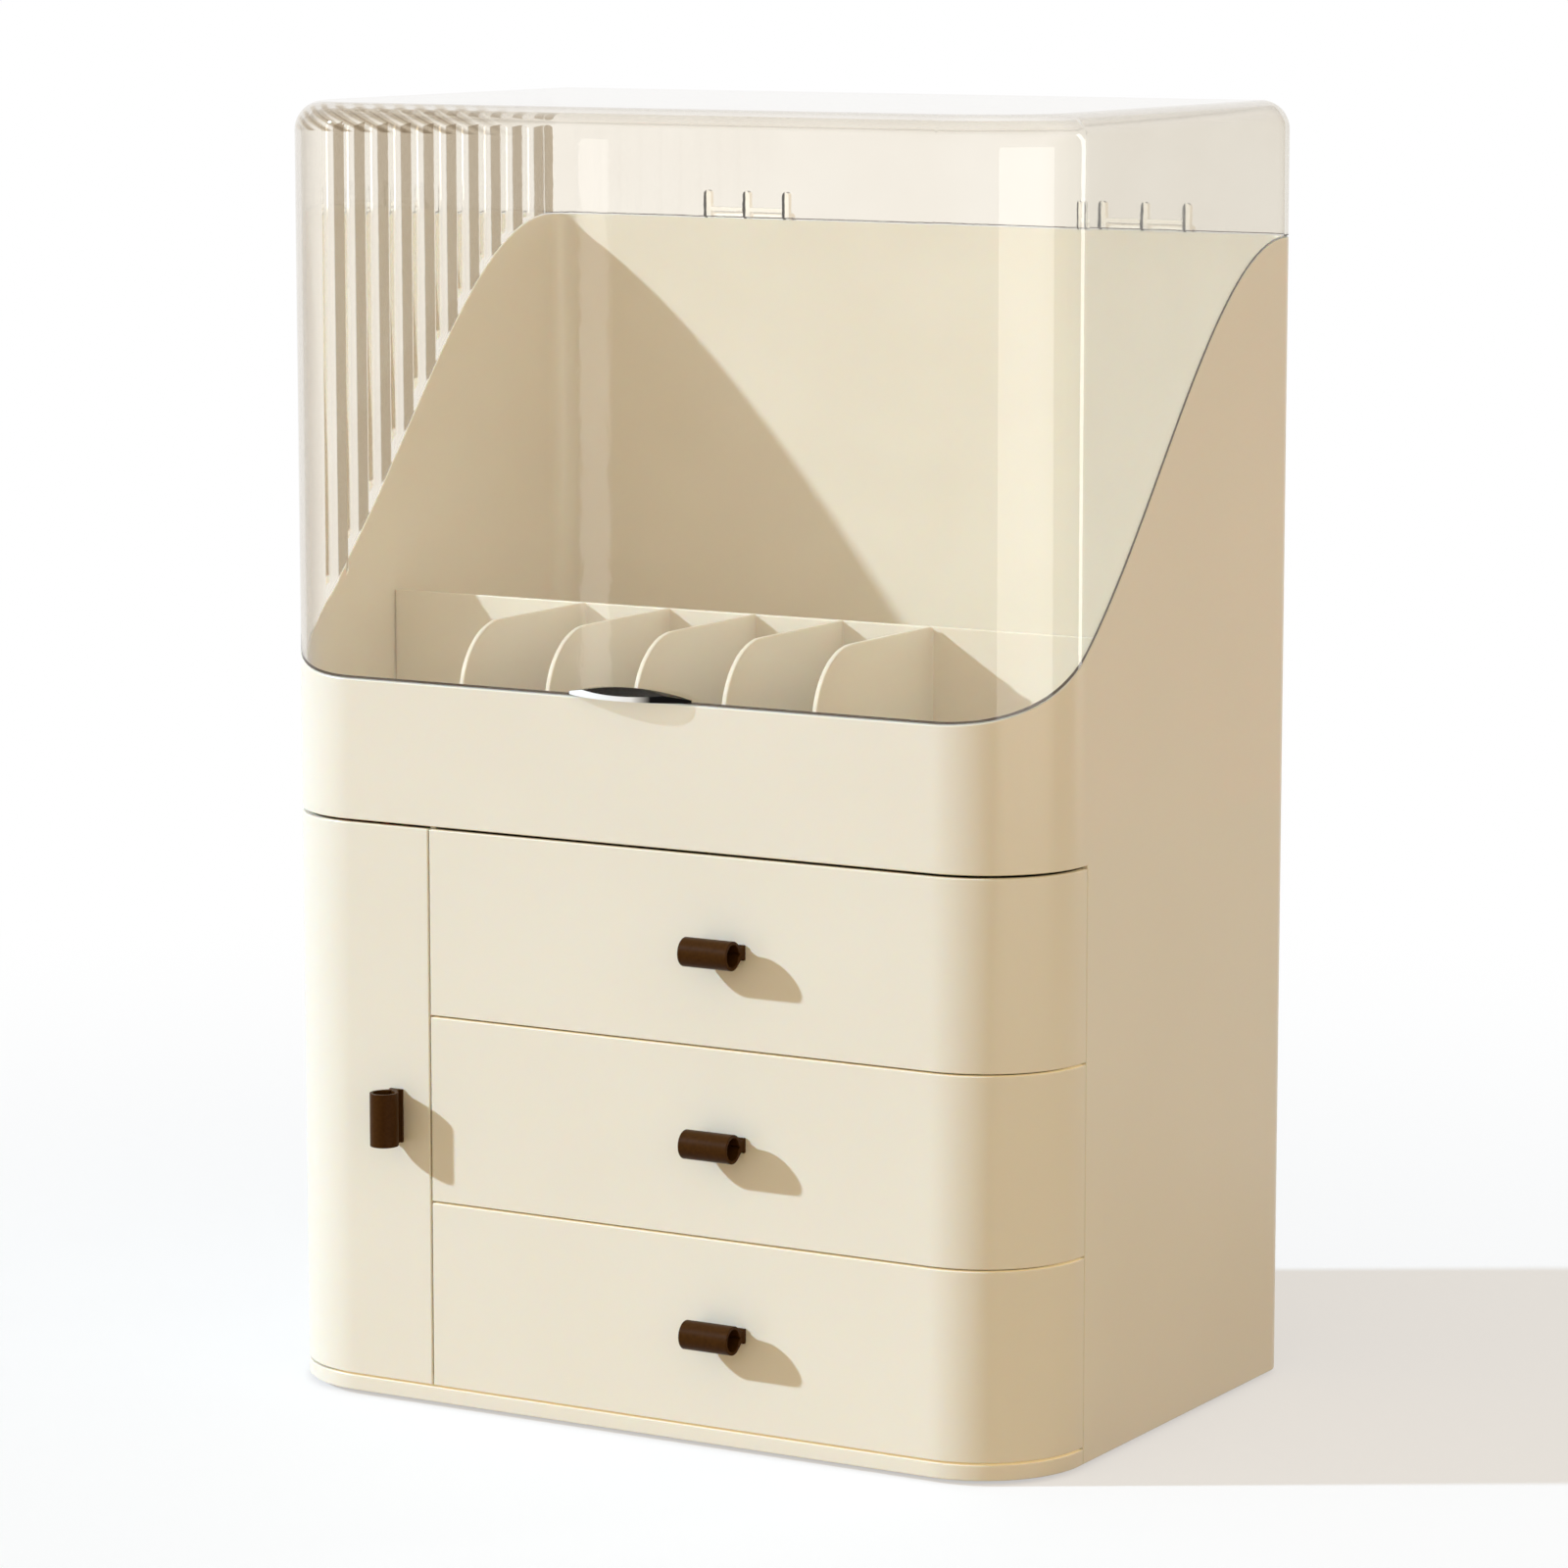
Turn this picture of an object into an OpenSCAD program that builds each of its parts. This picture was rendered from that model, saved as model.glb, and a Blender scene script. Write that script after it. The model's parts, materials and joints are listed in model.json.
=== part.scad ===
// Dustproof makeup organizer: a moulded cabinet with three drawers, a side door, an open tray
// and a clear hood that tips back on two hinges. Millimetres, +Z up, front towards -Y.
// The origin lies in the middle of the footprint, on the surface that the feet stand on.

/* [Body] */
// Width of the body, side to side
body_w = 330; // [300:1:380]
// Depth of the body, front to back, without handles and hinges
body_d = 214; // [200:1:240]
// Height of the rim at the back, above the underside of the body
back_h = 437; // [410:1:470]
// Height of the tray's front lip, above the underside of the body
lip_h = 273.7; // [262:0.1:300]
// Wall thickness of the outer shell
wall = 2.5; // [2.2:0.1:2.8]
// Radius of the two front corners in plan
corner_r = 40.5; // [36:0.5:42]
// Radius of the two back corners in plan
back_r = 12; // [10:0.5:16]
// Depth of the level stretch of rim next to the back face
rim_flat = 10.3; // [6:0.1:16]
// Reach of the rim curve's pull where it leaves the level stretch
rim_pull_back = 71.9; // [55:0.1:85]
// Reach of the rim curve's pull where it meets the lip
rim_pull_front = 77.9; // [55:0.1:85]
// Slope of the rim curve where it meets the lip
rim_slope = 0.27; // [0.1:0.01:0.4]

/* [Base and feet] */
// Height of the plinth that shows below the door and drawers
plinth_h = 5.7; // [5:0.1:8]
// Step of the base floor above the top of the plinth
floor_rise = 2.4; // [2:0.1:4]
// Thickness of the base floor and of the plinth skirt
base_t = 2.5; // [2.2:0.1:3]
// Radius of a rubber foot
foot_r = 8; // [6:0.5:10]
// Height of a foot below the body
foot_h = 2; // [1.5:0.1:4]
// Depth of the recess that holds a foot
foot_recess = 1; // [0.6:0.1:1.5]
// Distance of a foot's centre from the side of the body
foot_inset_x = 36; // [30:1:60]
// Distance of a foot's centre from the front and back of the body
foot_inset_y = 32; // [28:1:50]

/* [Drawers and door] */
// Height of one drawer front
front_h = 70.4; // [66:0.1:72]
// Thickness of the drawer fronts and of the door
front_t = 3; // [2.8:0.1:3.4]
// Seam between neighbouring fronts
front_seam = 0.8; // [0.6:0.1:1.2]
// Seam between the top front and the tray band
band_seam = 1.2; // [0.8:0.1:1.6]
// How far the fronts reach back round the corner, from the front face
front_wrap = 43; // [42.5:0.5:50]
// Width of the door on the front face
door_w = 75.6; // [70:0.1:90]
// Thickness of the upright wall between side cabinet and drawers
centre_t = 2.4; // [2:0.1:3]
// Thickness of the decks between drawers, of the shelf and of the tray floor
deck_t = 2; // [1.6:0.1:2.6]
// Height and reach of the ledges that carry the decks
ledge = 3; // [2:0.1:3.5]
// Wall thickness of a drawer bin
bin_wall = 1.8; // [1.5:0.1:2.4]
// Floor thickness of a drawer bin
bin_floor = 1.8; // [1.5:0.1:2.4]
// Headroom between a bin's top edge and the ledge above it
bin_headroom = 3.9; // [2:0.1:8]
// Room behind the drawer bins, up to the screw bosses
bin_back_room = 3; // [2:0.1:10]
// Height of the cabinet shelf above the base floor
shelf_h = 104; // [80:1:130]
// Radius of the rolled edge that the door turns on
knuckle_r = 3.2; // [3:0.1:3.6]
// Radius of the door's pins
door_pin_r = 1.25; // [1:0.05:1.5]
// Length of pin inside the door
door_pin_grip = 8.5; // [6:0.5:12]
// Radius of the catch magnet and of its steel plate
magnet_r = 3.8; // [3:0.1:4]
// Thickness of the catch magnet
magnet_t = 2.5; // [2:0.1:3]
// Thickness of the steel plate in the door
catch_plate_t = 1; // [0.8:0.1:1.2]
// Height of the catch above the base floor
catch_h = 160; // [140:1:180]

/* [Handles] */
// Radius of a handle's rolled grip
grip_r = 5.4; // [5:0.1:6]
// Distance of the grip's centre from the panel
grip_out = 9; // [8.5:0.1:10]
// Wall thickness of the rolled grip
grip_wall = 1.2; // [1:0.1:1.6]
// Length of a handle
handle_l = 20.4; // [18:0.1:30]
// Half the height of the handle's neck
neck_half = 2.1; // [1.9:0.1:2.4]
// Half the height of the handle's foot
handle_foot_half = 2.8; // [2.6:0.1:3.4]
// Thickness of the handle's foot
handle_foot_t = 1.3; // [1:0.1:1.6]
// Height of a drawer handle's centre above the middle of its front
handle_rise = 1; // [-6:0.5:6]
// Distance of the door handle's centre from the door's free edge
door_handle_inset = 14.6; // [14:0.1:20]
// Height of the door handle's centre above the bottom of the door
door_handle_h = 102.7; // [90:0.1:130]
// Distance between the two screws of a handle
handle_screw_gap = 12; // [9:0.5:14]

/* [Screws] */
// Radius of a handle or hinge screw's shank
screw_r = 1.1; // [0.9:0.05:1.3]
// Radius of a handle or hinge screw's head
screw_head_r = 2.2; // [2:0.1:2.6]
// Height of a handle or hinge screw's head
screw_head_h = 1.2; // [1:0.1:1.6]
// Depth that a handle screw reaches into the handle
screw_bite = 2.8; // [2:0.1:3]
// Radius of a base screw's shank
base_screw_r = 1.4; // [1.2:0.05:1.6]
// Radius of a base screw's head
base_screw_head_r = 2.8; // [2.4:0.1:3.2]
// Height of a base screw's head
base_screw_head_h = 1.8; // [1.4:0.1:2.4]
// Length of a base screw's shank
base_screw_l = 14; // [10:0.5:18]
// Radius of the bosses that take the base screws
boss_r = 4; // [3.5:0.1:4.5]
// Height of those bosses
boss_h = 20; // [16:1:26]

/* [Tray] */
// Height of the tray floor's underside above the bottom of the tray band
tray_floor_h = 3.5; // [3:0.1:5]
// Height of the rack's fins and cross wall above the body's underside
rack_top_h = 296.3; // [280:0.1:310]
// Distance from the front face to the rack's cross wall
rack_depth = 91; // [70:0.5:110]
// Thickness of the rack's walls
rack_wall = 2; // [1.6:0.1:2.6]
// Thickness of the rack's floor
rack_floor = 1.4; // [1:0.1:2]
// Number of fins
fin_count = 5; // [3:1:7]
// Distance between neighbouring fins
fin_pitch = 37.7; // [30:0.1:40]
// Radius of a fin's rounded front
fin_r = 27; // [20:0.5:32]

/* [Hood] */
// Height of the hood's top above the underside of the body
hood_top_h = 488; // [470:1:510]
// Wall thickness of the hood
hood_wall = 2.2; // [2:0.1:2.6]
// Radius of the hood's rounded top edge
hood_edge_r = 11; // [8:0.1:11.5]
// Seam between the hood and the rim, measured upright
hood_seam = 0.5; // [0.4:0.1:0.8]
// Number of flutes along the straight left side
flute_count = 10; // [8:1:14]
// Depth of the flutes
flute_depth = 0.9; // [0.5:0.1:1]
// Width of the finger tab
tab_w = 54; // [40:1:70]
// Reach of the finger tab
tab_out = 9; // [6:0.5:12]
// Thickness of the finger tab's front edge
tab_edge = 1.8; // [1.4:0.1:2.4]
// Rise of the tab's upper face towards the hood
tab_rise = 2.2; // [1:0.1:4]
// Thickness of the tab's tips
tab_tip = 0.8; // [0.6:0.1:1.4]

/* [Hood hinges] */
// Distance of the left hinge's middle from the body's left side
hinge_in_left = 89; // [60:1:105]
// Distance of the right hinge's middle from the body's right side
hinge_in_right = 66.4; // [55:0.1:105]
// Distance of the hinge axis from the back face
hinge_out = 2.9; // [2.8:0.1:3.6]
// Radius of a hinge knuckle
hinge_r = 2.5; // [2.3:0.05:2.5]
// Radius of a hinge pin
hinge_pin_r = 1; // [0.8:0.05:1.2]
// Distance between neighbouring fingers of a hinge leaf
finger_pitch = 18; // [14:0.5:22]
// Width of a finger
finger_w = 3.2; // [2.6:0.1:4]
// Height of a finger above the axis
finger_h = 11; // [8:0.5:16]
// Thickness of the fingers and of the hinge brackets
hinge_plate_t = 2; // [1.6:0.1:2.2]
// Height of a hinge bracket's plate
bracket_h = 13; // [10:0.5:18]

/* [Clearances] */
// Gap between parts that slip into one another
fit_gap = 0.3; // [0.2:0.05:0.35]
// Gap between a front's end and the side panel behind it
end_gap = 0.4; // [0.3:0.05:0.6]
// Gap between a drawer bin and the walls that guide it
guide_gap = 0.5; // [0.4:0.05:0.8]
// Radial clearance of pins and screws in their holes
pin_gap = 0.06; // [0.03:0.01:0.09]

/* [Hidden] */
$fn = 96;

CREAM = [0.93, 0.91, 0.84];
BROWN = [0.25, 0.15, 0.08];
STEEL = [0.75, 0.76, 0.78];
CLEAR = [0.93, 0.92, 0.88, 0.35];
RUBBER = [0.30, 0.29, 0.27];

// Plan: the box of handles, body and hinges is centred on the origin.
handle_out = grip_out + grip_r;
hinge_back = hinge_out + hinge_r;
front_y = -(body_d + handle_out + hinge_back) / 2 + handle_out;
back_y = front_y + body_d;
side_x = body_w / 2;
corner_y = front_y + corner_r;
back_corner_y = back_y - back_r;
front_end_y = front_y + front_wrap;
panel_y = front_end_y + end_gap;
inner_inset = front_t + fit_gap;
shell_inset = wall + fit_gap;

// Heights
body_z = foot_h;
plinth_z = body_z + plinth_h;
floor_z = plinth_z + floor_rise;
pitch = front_h + front_seam;
first_z = plinth_z + front_seam;
function front_z(k) = first_z + k * pitch;
deck_step = floor_z - first_z;
function deck_top(k) = front_z(k) + deck_step;
door_h = 3 * pitch - front_seam;
band_z = front_z(3) - front_seam + band_seam;
tray_z = band_z + tray_floor_h;
lip_z = body_z + lip_h;
rim_z = body_z + back_h;
rack_inset = shell_inset + fit_gap;
rack_z = tray_z + deck_t + rack_floor;
rack_top_z = body_z + rack_top_h;
hood_top_z = body_z + hood_top_h;

// Upright wall and columns
seam_x = -side_x + door_w + front_seam / 2;
door_edge_x = seam_x - front_seam / 2;
drawer_edge_x = seam_x + front_seam / 2;
centre_x0 = seam_x - centre_t / 2;
centre_x1 = seam_x + centre_t / 2;
bin_x0 = centre_x1 + guide_gap;
boss_y = back_y - wall - boss_r - 0.5;
bin_back_y = boss_y - boss_r - bin_back_room;
bin_h = pitch - deck_t - ledge - fit_gap - bin_headroom;

// Pivots
pivot_x = -side_x + knuckle_r;
pivot_y = front_end_y - knuckle_r;
hinge_y = back_y + hinge_out;
hinge_z = rim_z;
hinge_x_left = -side_x + hinge_in_left;
hinge_x_right = side_x - hinge_in_right;
leaf_w = 2 * finger_pitch + finger_w;
bracket_knuckle_w = finger_pitch - finger_w - 2 * fit_gap;
bracket_top_z = hinge_z - hinge_r - 2 * end_gap;

// Handle places
drawer_handle_x = (drawer_edge_x + side_x) / 2;
function drawer_handle_z(k) = front_z(k) + front_h / 2 + handle_rise;
door_handle_x = door_edge_x - door_handle_inset;
door_handle_z = first_z + door_handle_h;
catch_z = floor_z + catch_h;
catch_x = centre_x0 - magnet_r - 0.6;
shelf_front_y = front_y + inner_inset + screw_head_h + end_gap;

// Screws under the base: two in the shell's back bosses, two in the upright wall's bosses
boss_x = side_x - wall - 22;
centre_boss_x = centre_x0 - boss_r + 1;
screw_seat_z = floor_z - base_t;
centre_boss_y = [front_y + 45, back_y - 45];
base_screw_places = [[-boss_x, boss_y], [boss_x, boss_y],
    [centre_boss_x, centre_boss_y[0]], [centre_boss_x, centre_boss_y[1]]];

// Rim curve: one cubic from the level stretch at the back down to the lip.
rim_steps = 40;
rim_back_y = back_y - rim_flat;
function bezier(a, b, c, d, t) = pow(1 - t, 3) * a + 3 * pow(1 - t, 2) * t * b
    + 3 * (1 - t) * t * t * c + pow(t, 3) * d;
function rim_curve(lift) = [for (i = [0 : rim_steps]) bezier(
    [rim_back_y, rim_z + lift],
    [rim_back_y - rim_pull_back, rim_z + lift],
    [front_y + rim_pull_front, lip_z + rim_slope * rim_pull_front + lift],
    [front_y, lip_z + lift], i / rim_steps)];

// ---------- Plan outlines ----------

// Outline of the body in plan, moved inwards by a given inset
module plan(inset = 0) {
    rf = corner_r - inset;
    rb = back_r - inset;
    translate([-side_x + corner_r, front_y + inset])
        square([body_w - 2 * corner_r, body_d - 2 * inset]);
    translate([-side_x + inset, corner_y])
        square([body_w - 2 * inset, back_corner_y - corner_y]);
    translate([-side_x + back_r, corner_y])
        square([body_w - 2 * back_r, back_y - inset - corner_y]);
    for (s = [-1, 1]) {
        translate([s * (side_x - corner_r), corner_y])
            circle(rf);
        translate([s * (side_x - back_r), back_corner_y])
            circle(rb);
    }
}

// Rectangle given by its two corners
module rect(x0, y0, x1, y1) {
    translate([x0, y0])
        square([x1 - x0, y1 - y0]);
}

// Box given by its two corners
module box(a, b) {
    translate(a)
        cube(b - a);
}

// Strip of the outline that stands in front of the side panels
module front_zone() {
    rect(-side_x - 1, front_y - 1, side_x + 1, front_end_y);
}

// Room that the door's rolled edge needs
module knuckle_room() {
    translate([pivot_x, pivot_y])
        circle(knuckle_r + end_gap);
}

// Prism along X whose outline is given in Y and Z
module prism_x(x0, x1) {
    translate([x0, 0, 0])
        rotate([90, 0, 90])
            linear_extrude(x1 - x0)
                children();
}

// Everything below the rim curve
module below_rim() {
    prism_x(-side_x - 1, side_x + 1)
        polygon(concat([[front_y - 5, -1], [back_y + 5, -1], [back_y + 5, rim_z]],
            rim_curve(0), [[front_y - 5, lip_z]]));
}

// Everything above the rim curve and its seam
module above_rim() {
    prism_x(-side_x - 20, side_x + 20)
        polygon(concat([[front_y - 30, hood_top_z + 5], [back_y + 5, hood_top_z + 5],
            [back_y + 5, rim_z + hood_seam]], rim_curve(hood_seam),
            [[front_y - 30, lip_z + hood_seam]]));
}

// ---------- Fixed structure ----------

// Ledge along a side wall, reaching from x0 towards the middle
module ledge_rail(x0, dir, top) {
    y0 = front_end_y + 5;
    y1 = back_corner_y - 2;
    translate([dir > 0 ? x0 - 1 : x0 - ledge, y0, top - ledge])
        cube([ledge + 1, y1 - y0, ledge]);
}

module body_shell() {
    color(CREAM)
        difference() {
            union() {
                difference() {
                    intersection() {
                        translate([0, 0, body_z])
                            linear_extrude(back_h + 1)
                                plan();
                        below_rim();
                    }
                    linear_extrude(rim_z + 1)
                        plan(wall);
                    linear_extrude(band_z)
                        rect(-side_x - 1, front_y - 1, side_x + 1, panel_y);
                }
                shell_ledges();
                shell_bosses();
                pin_lug();
            }
            base_screw_pilots();
            hinge_screw_pilots();
            translate([pivot_x, pivot_y, band_z - 1])
                cylinder(r = door_pin_r + pin_gap, h = tray_floor_h + 0.5);
        }
}

module shell_ledges() {
    for (k = [1, 2])
        ledge_rail(side_x - wall, -1, deck_top(k) - deck_t);
    ledge_rail(-side_x + wall, 1, floor_z + shelf_h);
    for (s = [-1, 1])
        ledge_rail(s * (side_x - wall), -s, tray_z);
    box([-side_x + 2 * corner_r, front_y + wall - 1, tray_z - ledge],
        [side_x - 2 * corner_r, front_y + wall + ledge, tray_z]);
}

module shell_bosses() {
    for (s = [-1, 1]) {
        translate([s * boss_x, boss_y, floor_z])
            cylinder(r = boss_r, h = boss_h);
        box([s * boss_x - boss_r / 2, boss_y, floor_z],
            [s * boss_x + boss_r / 2, back_y - 1, floor_z + boss_h]);
    }
}

// Lug under the tray that holds the door's upper pin
module pin_lug() {
    box([-side_x + wall - 1, pivot_y - knuckle_r - 1, band_z],
        [pivot_x + knuckle_r + 1, pivot_y + knuckle_r + 1, tray_z]);
}

module base_screw_pilots() {
    for (p = base_screw_places)
        translate([p[0], p[1], floor_z - 1])
            cylinder(r = base_screw_r + pin_gap, h = base_screw_l);
}

// Blind holes in the back face for the hinge brackets' screws
module hinge_screw_pilots() {
    for (x = [hinge_x_left, hinge_x_right], s = [-1, 1])
        translate([x + s * finger_pitch / 2, back_y + 1, bracket_top_z - bracket_h / 2])
            rotate([90, 0, 0])
                cylinder(r = screw_r + pin_gap, h = wall + 0.5);
}

// Outline of the plinth, which shows in front of the side panels
module plinth_outline() {
    intersection() {
        plan();
        front_zone();
    }
    plan(shell_inset);
}

module base_plate() {
    color(CREAM)
        difference() {
            union() {
                difference() {
                    union() {
                        translate([0, 0, body_z])
                            linear_extrude(plinth_h)
                                plinth_outline();
                        translate([0, 0, body_z])
                            linear_extrude(floor_z - body_z)
                                plan(inner_inset);
                    }
                    translate([0, 0, body_z - 1])
                        linear_extrude(floor_z - base_t - body_z + 1)
                            plan(shell_inset + base_t);
                }
                foot_bosses();
                translate([0, 0, body_z])
                    linear_extrude(plinth_h)
                        intersection() {
                            plinth_outline();
                            translate([pivot_x, pivot_y])
                                circle(knuckle_r + base_t);
                        }
            }
            translate([0, 0, plinth_z])
                linear_extrude(floor_rise + 1)
                    knuckle_room();
            translate([pivot_x, pivot_y, body_z + 1.5])
                cylinder(r = door_pin_r + pin_gap, h = plinth_h);
            for (x = [-1, 1], y = [0, 1])
                foot_at(x, y)
                    translate([0, 0, body_z - 1])
                        cylinder(r = foot_r + pin_gap, h = foot_recess + 1);
            for (p = base_screw_places) {
                translate([p[0], p[1], body_z])
                    cylinder(r = base_screw_r + pin_gap, h = floor_z);
                translate([p[0], p[1], body_z - 1])
                    cylinder(r = base_screw_head_r + pin_gap, h = screw_seat_z - body_z + 1);
            }
        }
}

// Places something at one of the four feet
module foot_at(x, y) {
    translate([x * (side_x - foot_inset_x),
        y == 0 ? front_y + foot_inset_y : back_y - foot_inset_y, 0])
        children();
}

module foot_bosses() {
    for (x = [-1, 1], y = [0, 1])
        foot_at(x, y)
            translate([0, 0, body_z])
                cylinder(r = foot_r + base_t, h = floor_z - base_t / 2 - body_z);
}

module feet() {
    color(RUBBER)
        for (x = [-1, 1], y = [0, 1])
            foot_at(x, y)
                cylinder(r = foot_r, h = foot_h + foot_recess);
}

module base_screws() {
    color(STEEL)
        for (p = base_screw_places)
            translate([p[0], p[1], screw_seat_z - base_screw_head_h]) {
                cylinder(r = base_screw_head_r, h = base_screw_head_h);
                cylinder(r = base_screw_r, h = base_screw_head_h + base_screw_l);
            }
}

module centre_wall() {
    color(CREAM)
        difference() {
            union() {
                box([centre_x0, front_y + inner_inset, floor_z],
                    [centre_x1, back_y - shell_inset, tray_z]);
                for (k = [1, 2])
                    ledge_rail(centre_x1, 1, deck_top(k) - deck_t);
                ledge_rail(centre_x0, -1, floor_z + shelf_h);
                for (y = centre_boss_y)
                    translate([centre_boss_x, y, floor_z])
                        cylinder(r = boss_r, h = boss_h);
                magnet_block();
            }
            base_screw_pilots();
            translate([catch_x, front_y + inner_inset - 1, catch_z])
                rotate([-90, 0, 0])
                    cylinder(r = magnet_r + pin_gap, h = magnet_t + 1);
        }
}

// Block on the upright wall that holds the catch magnet behind the door
module magnet_block() {
    box([catch_x - magnet_r - 1, front_y + inner_inset, catch_z - magnet_r - 1],
        [centre_x0 + 1, front_y + inner_inset + magnet_t + 2, catch_z + magnet_r + 1]);
}

module catch_magnet() {
    color(STEEL)
        translate([catch_x, front_y + inner_inset, catch_z])
            rotate([-90, 0, 0])
                cylinder(r = magnet_r, h = magnet_t);
}

// Deck between two drawers; k numbers the drawer that runs on it
module drawer_deck(k) {
    color(CREAM)
        translate([0, 0, deck_top(k) - deck_t])
            linear_extrude(deck_t)
                intersection() {
                    plan(inner_inset);
                    rect(centre_x1 + fit_gap, front_y, side_x, back_y);
                }
}

module cabinet_shelf() {
    color(CREAM)
        translate([0, 0, floor_z + shelf_h])
            linear_extrude(deck_t)
                difference() {
                    intersection() {
                        plan(inner_inset);
                        rect(-side_x, shelf_front_y, centre_x0 - fit_gap, back_y);
                    }
                    knuckle_room();
                }
}

module tray_floor() {
    color(CREAM)
        translate([0, 0, tray_z])
            linear_extrude(deck_t)
                plan(shell_inset);
}

// One fin of the rack: a wall whose front is rounded off
module fin(x) {
    y0 = front_y + rack_inset;
    prism_x(x - rack_wall / 2, x + rack_wall / 2) {
        rect(y0, rack_z, front_y + rack_depth, rack_top_z - fin_r);
        rect(y0 + fin_r, rack_z, front_y + rack_depth, rack_top_z);
        intersection() {
            translate([y0 + fin_r, rack_top_z - fin_r])
                circle(fin_r);
            rect(y0, rack_z, front_y + rack_depth, rack_top_z + 1);
        }
    }
}

// Thin plate under the fins, as deep as the rack
module rack_plate() {
    color(CREAM)
        translate([0, 0, tray_z + deck_t])
            linear_extrude(rack_floor)
                intersection() {
                    plan(rack_inset);
                    rect(-side_x, front_y, side_x, front_y + rack_depth);
                }
}

module lipstick_rack() {
    color(CREAM) {
        box([-side_x + rack_inset, front_y + rack_depth - rack_wall, rack_z],
            [side_x - rack_inset, front_y + rack_depth, rack_top_z]);
        for (i = [0 : fin_count - 1])
            fin((i - (fin_count - 1) / 2) * fin_pitch);
    }
}

// ---------- Handles ----------

// Drawer handle lying along X, its foot on the front at y = 0: a rolled grip on a waisted neck
module lying_handle() {
    bore_r = grip_r - grip_wall;
    waist = grip_out / 3;
    flare = 0.62 * grip_out;
    difference() {
        union() {
            along_handle(grip_r);
            prism_x(-handle_l / 2, handle_l / 2)
                polygon([[0, neck_half], [-waist, neck_half], [-flare, 0.78 * grip_r],
                    [-grip_out, 0.9 * grip_r], [-grip_out, -0.9 * grip_r],
                    [-flare, -0.78 * grip_r], [-waist, -neck_half], [0, -neck_half]]);
            box([-handle_l / 2, -handle_foot_t, -handle_foot_half],
                [handle_l / 2, 0, handle_foot_half]);
        }
        along_handle(bore_r);
        prism_x(-handle_l / 2 - 1, handle_l / 2 + 1)
            polygon([[-screw_bite - 1, 0], [-grip_out, 0.85 * bore_r],
                [-grip_out, -0.85 * bore_r]]);
        for (s = [-1, 1])
            translate([s * handle_screw_gap / 2, 1, 0])
                rotate([90, 0, 0])
                    cylinder(r = screw_r + pin_gap, h = screw_bite + 1 + pin_gap);
    }
}

// Cylinder along the handle's grip, longer than the handle when it cuts the bore
module along_handle(r) {
    l = r < grip_r ? handle_l + 2 : handle_l;
    translate([-l / 2, -grip_out, 0])
        rotate([0, 90, 0])
            cylinder(r = r, h = l);
}

// Two screws along X that enter a handle from behind, their heads at y = head_y
module handle_screw_pair(head_y) {
    for (s = [-1, 1])
        translate([s * handle_screw_gap / 2, 0, 0])
            rotate([90, 0, 0]) {
                translate([0, 0, -head_y - screw_head_h])
                    cylinder(r = screw_head_r, h = screw_head_h);
                translate([0, 0, -head_y - 0.1])
                    cylinder(r = screw_r, h = head_y + 0.1 + screw_bite);
            }
}

module handle_screw_holes() {
    for (s = [-1, 1])
        translate([s * handle_screw_gap / 2, 2 * front_t + bin_wall, 0])
            rotate([90, 0, 0])
                cylinder(r = screw_r + pin_gap, h = 3 * front_t + bin_wall);
}

// Turns a lying handle upright for the door
module upright() {
    rotate([0, 90, 0])
        children();
}

module at_drawer_handle(k) {
    translate([drawer_handle_x, front_y, drawer_handle_z(k)])
        children();
}

module at_door_handle() {
    translate([door_handle_x, front_y, door_handle_z])
        upright()
            children();
}

// ---------- Drawers ----------

module bin_outline(inset) {
    intersection() {
        plan(inner_inset + inset);
        rect(bin_x0 + inset, front_y, side_x, bin_back_y - inset);
    }
}

module drawer_bin(k) {
    z0 = deck_top(k) + fit_gap;
    color(CREAM)
        difference() {
            translate([0, 0, z0])
                linear_extrude(bin_h)
                    bin_outline(0);
            translate([0, 0, z0 + bin_floor])
                linear_extrude(bin_h)
                    bin_outline(bin_wall);
            at_drawer_handle(k)
                handle_screw_holes();
        }
}

module drawer_front(k) {
    color(CREAM)
        difference() {
            translate([0, 0, front_z(k)])
                linear_extrude(front_h)
                    intersection() {
                        difference() {
                            plan();
                            plan(front_t);
                        }
                        rect(drawer_edge_x, front_y - 1, side_x + 1, front_end_y);
                    }
            at_drawer_handle(k)
                handle_screw_holes();
        }
}

module drawer_handle(k) {
    color(BROWN)
        at_drawer_handle(k)
            lying_handle();
}

module drawer_screws(k) {
    color(STEEL)
        at_drawer_handle(k)
            handle_screw_pair(inner_inset + bin_wall);
}

// ---------- Door ----------

module door() {
    color(CREAM)
        difference() {
            translate([0, 0, first_z])
                linear_extrude(door_h) {
                    intersection() {
                        difference() {
                            plan();
                            plan(front_t);
                        }
                        rect(-side_x - 1, front_y - 1, door_edge_x, pivot_y);
                    }
                    translate([pivot_x, pivot_y])
                        circle(knuckle_r);
                }
            for (z = [first_z - 1, first_z + door_h - door_pin_grip - 0.5])
                translate([pivot_x, pivot_y, z])
                    cylinder(r = door_pin_r + pin_gap, h = door_pin_grip + 1.5);
            at_door_handle()
                handle_screw_holes();
            translate([catch_x, front_y + front_t - catch_plate_t, catch_z])
                rotate([-90, 0, 0])
                    cylinder(r = magnet_r + pin_gap, h = catch_plate_t + 1);
        }
}

module catch_plate() {
    color(STEEL)
        translate([catch_x, front_y + front_t - catch_plate_t, catch_z])
            rotate([-90, 0, 0])
                cylinder(r = magnet_r, h = catch_plate_t);
}

module door_handle() {
    color(BROWN)
        at_door_handle()
            lying_handle();
}

module door_handle_screws() {
    color(STEEL)
        at_door_handle()
            handle_screw_pair(front_t);
}

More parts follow.
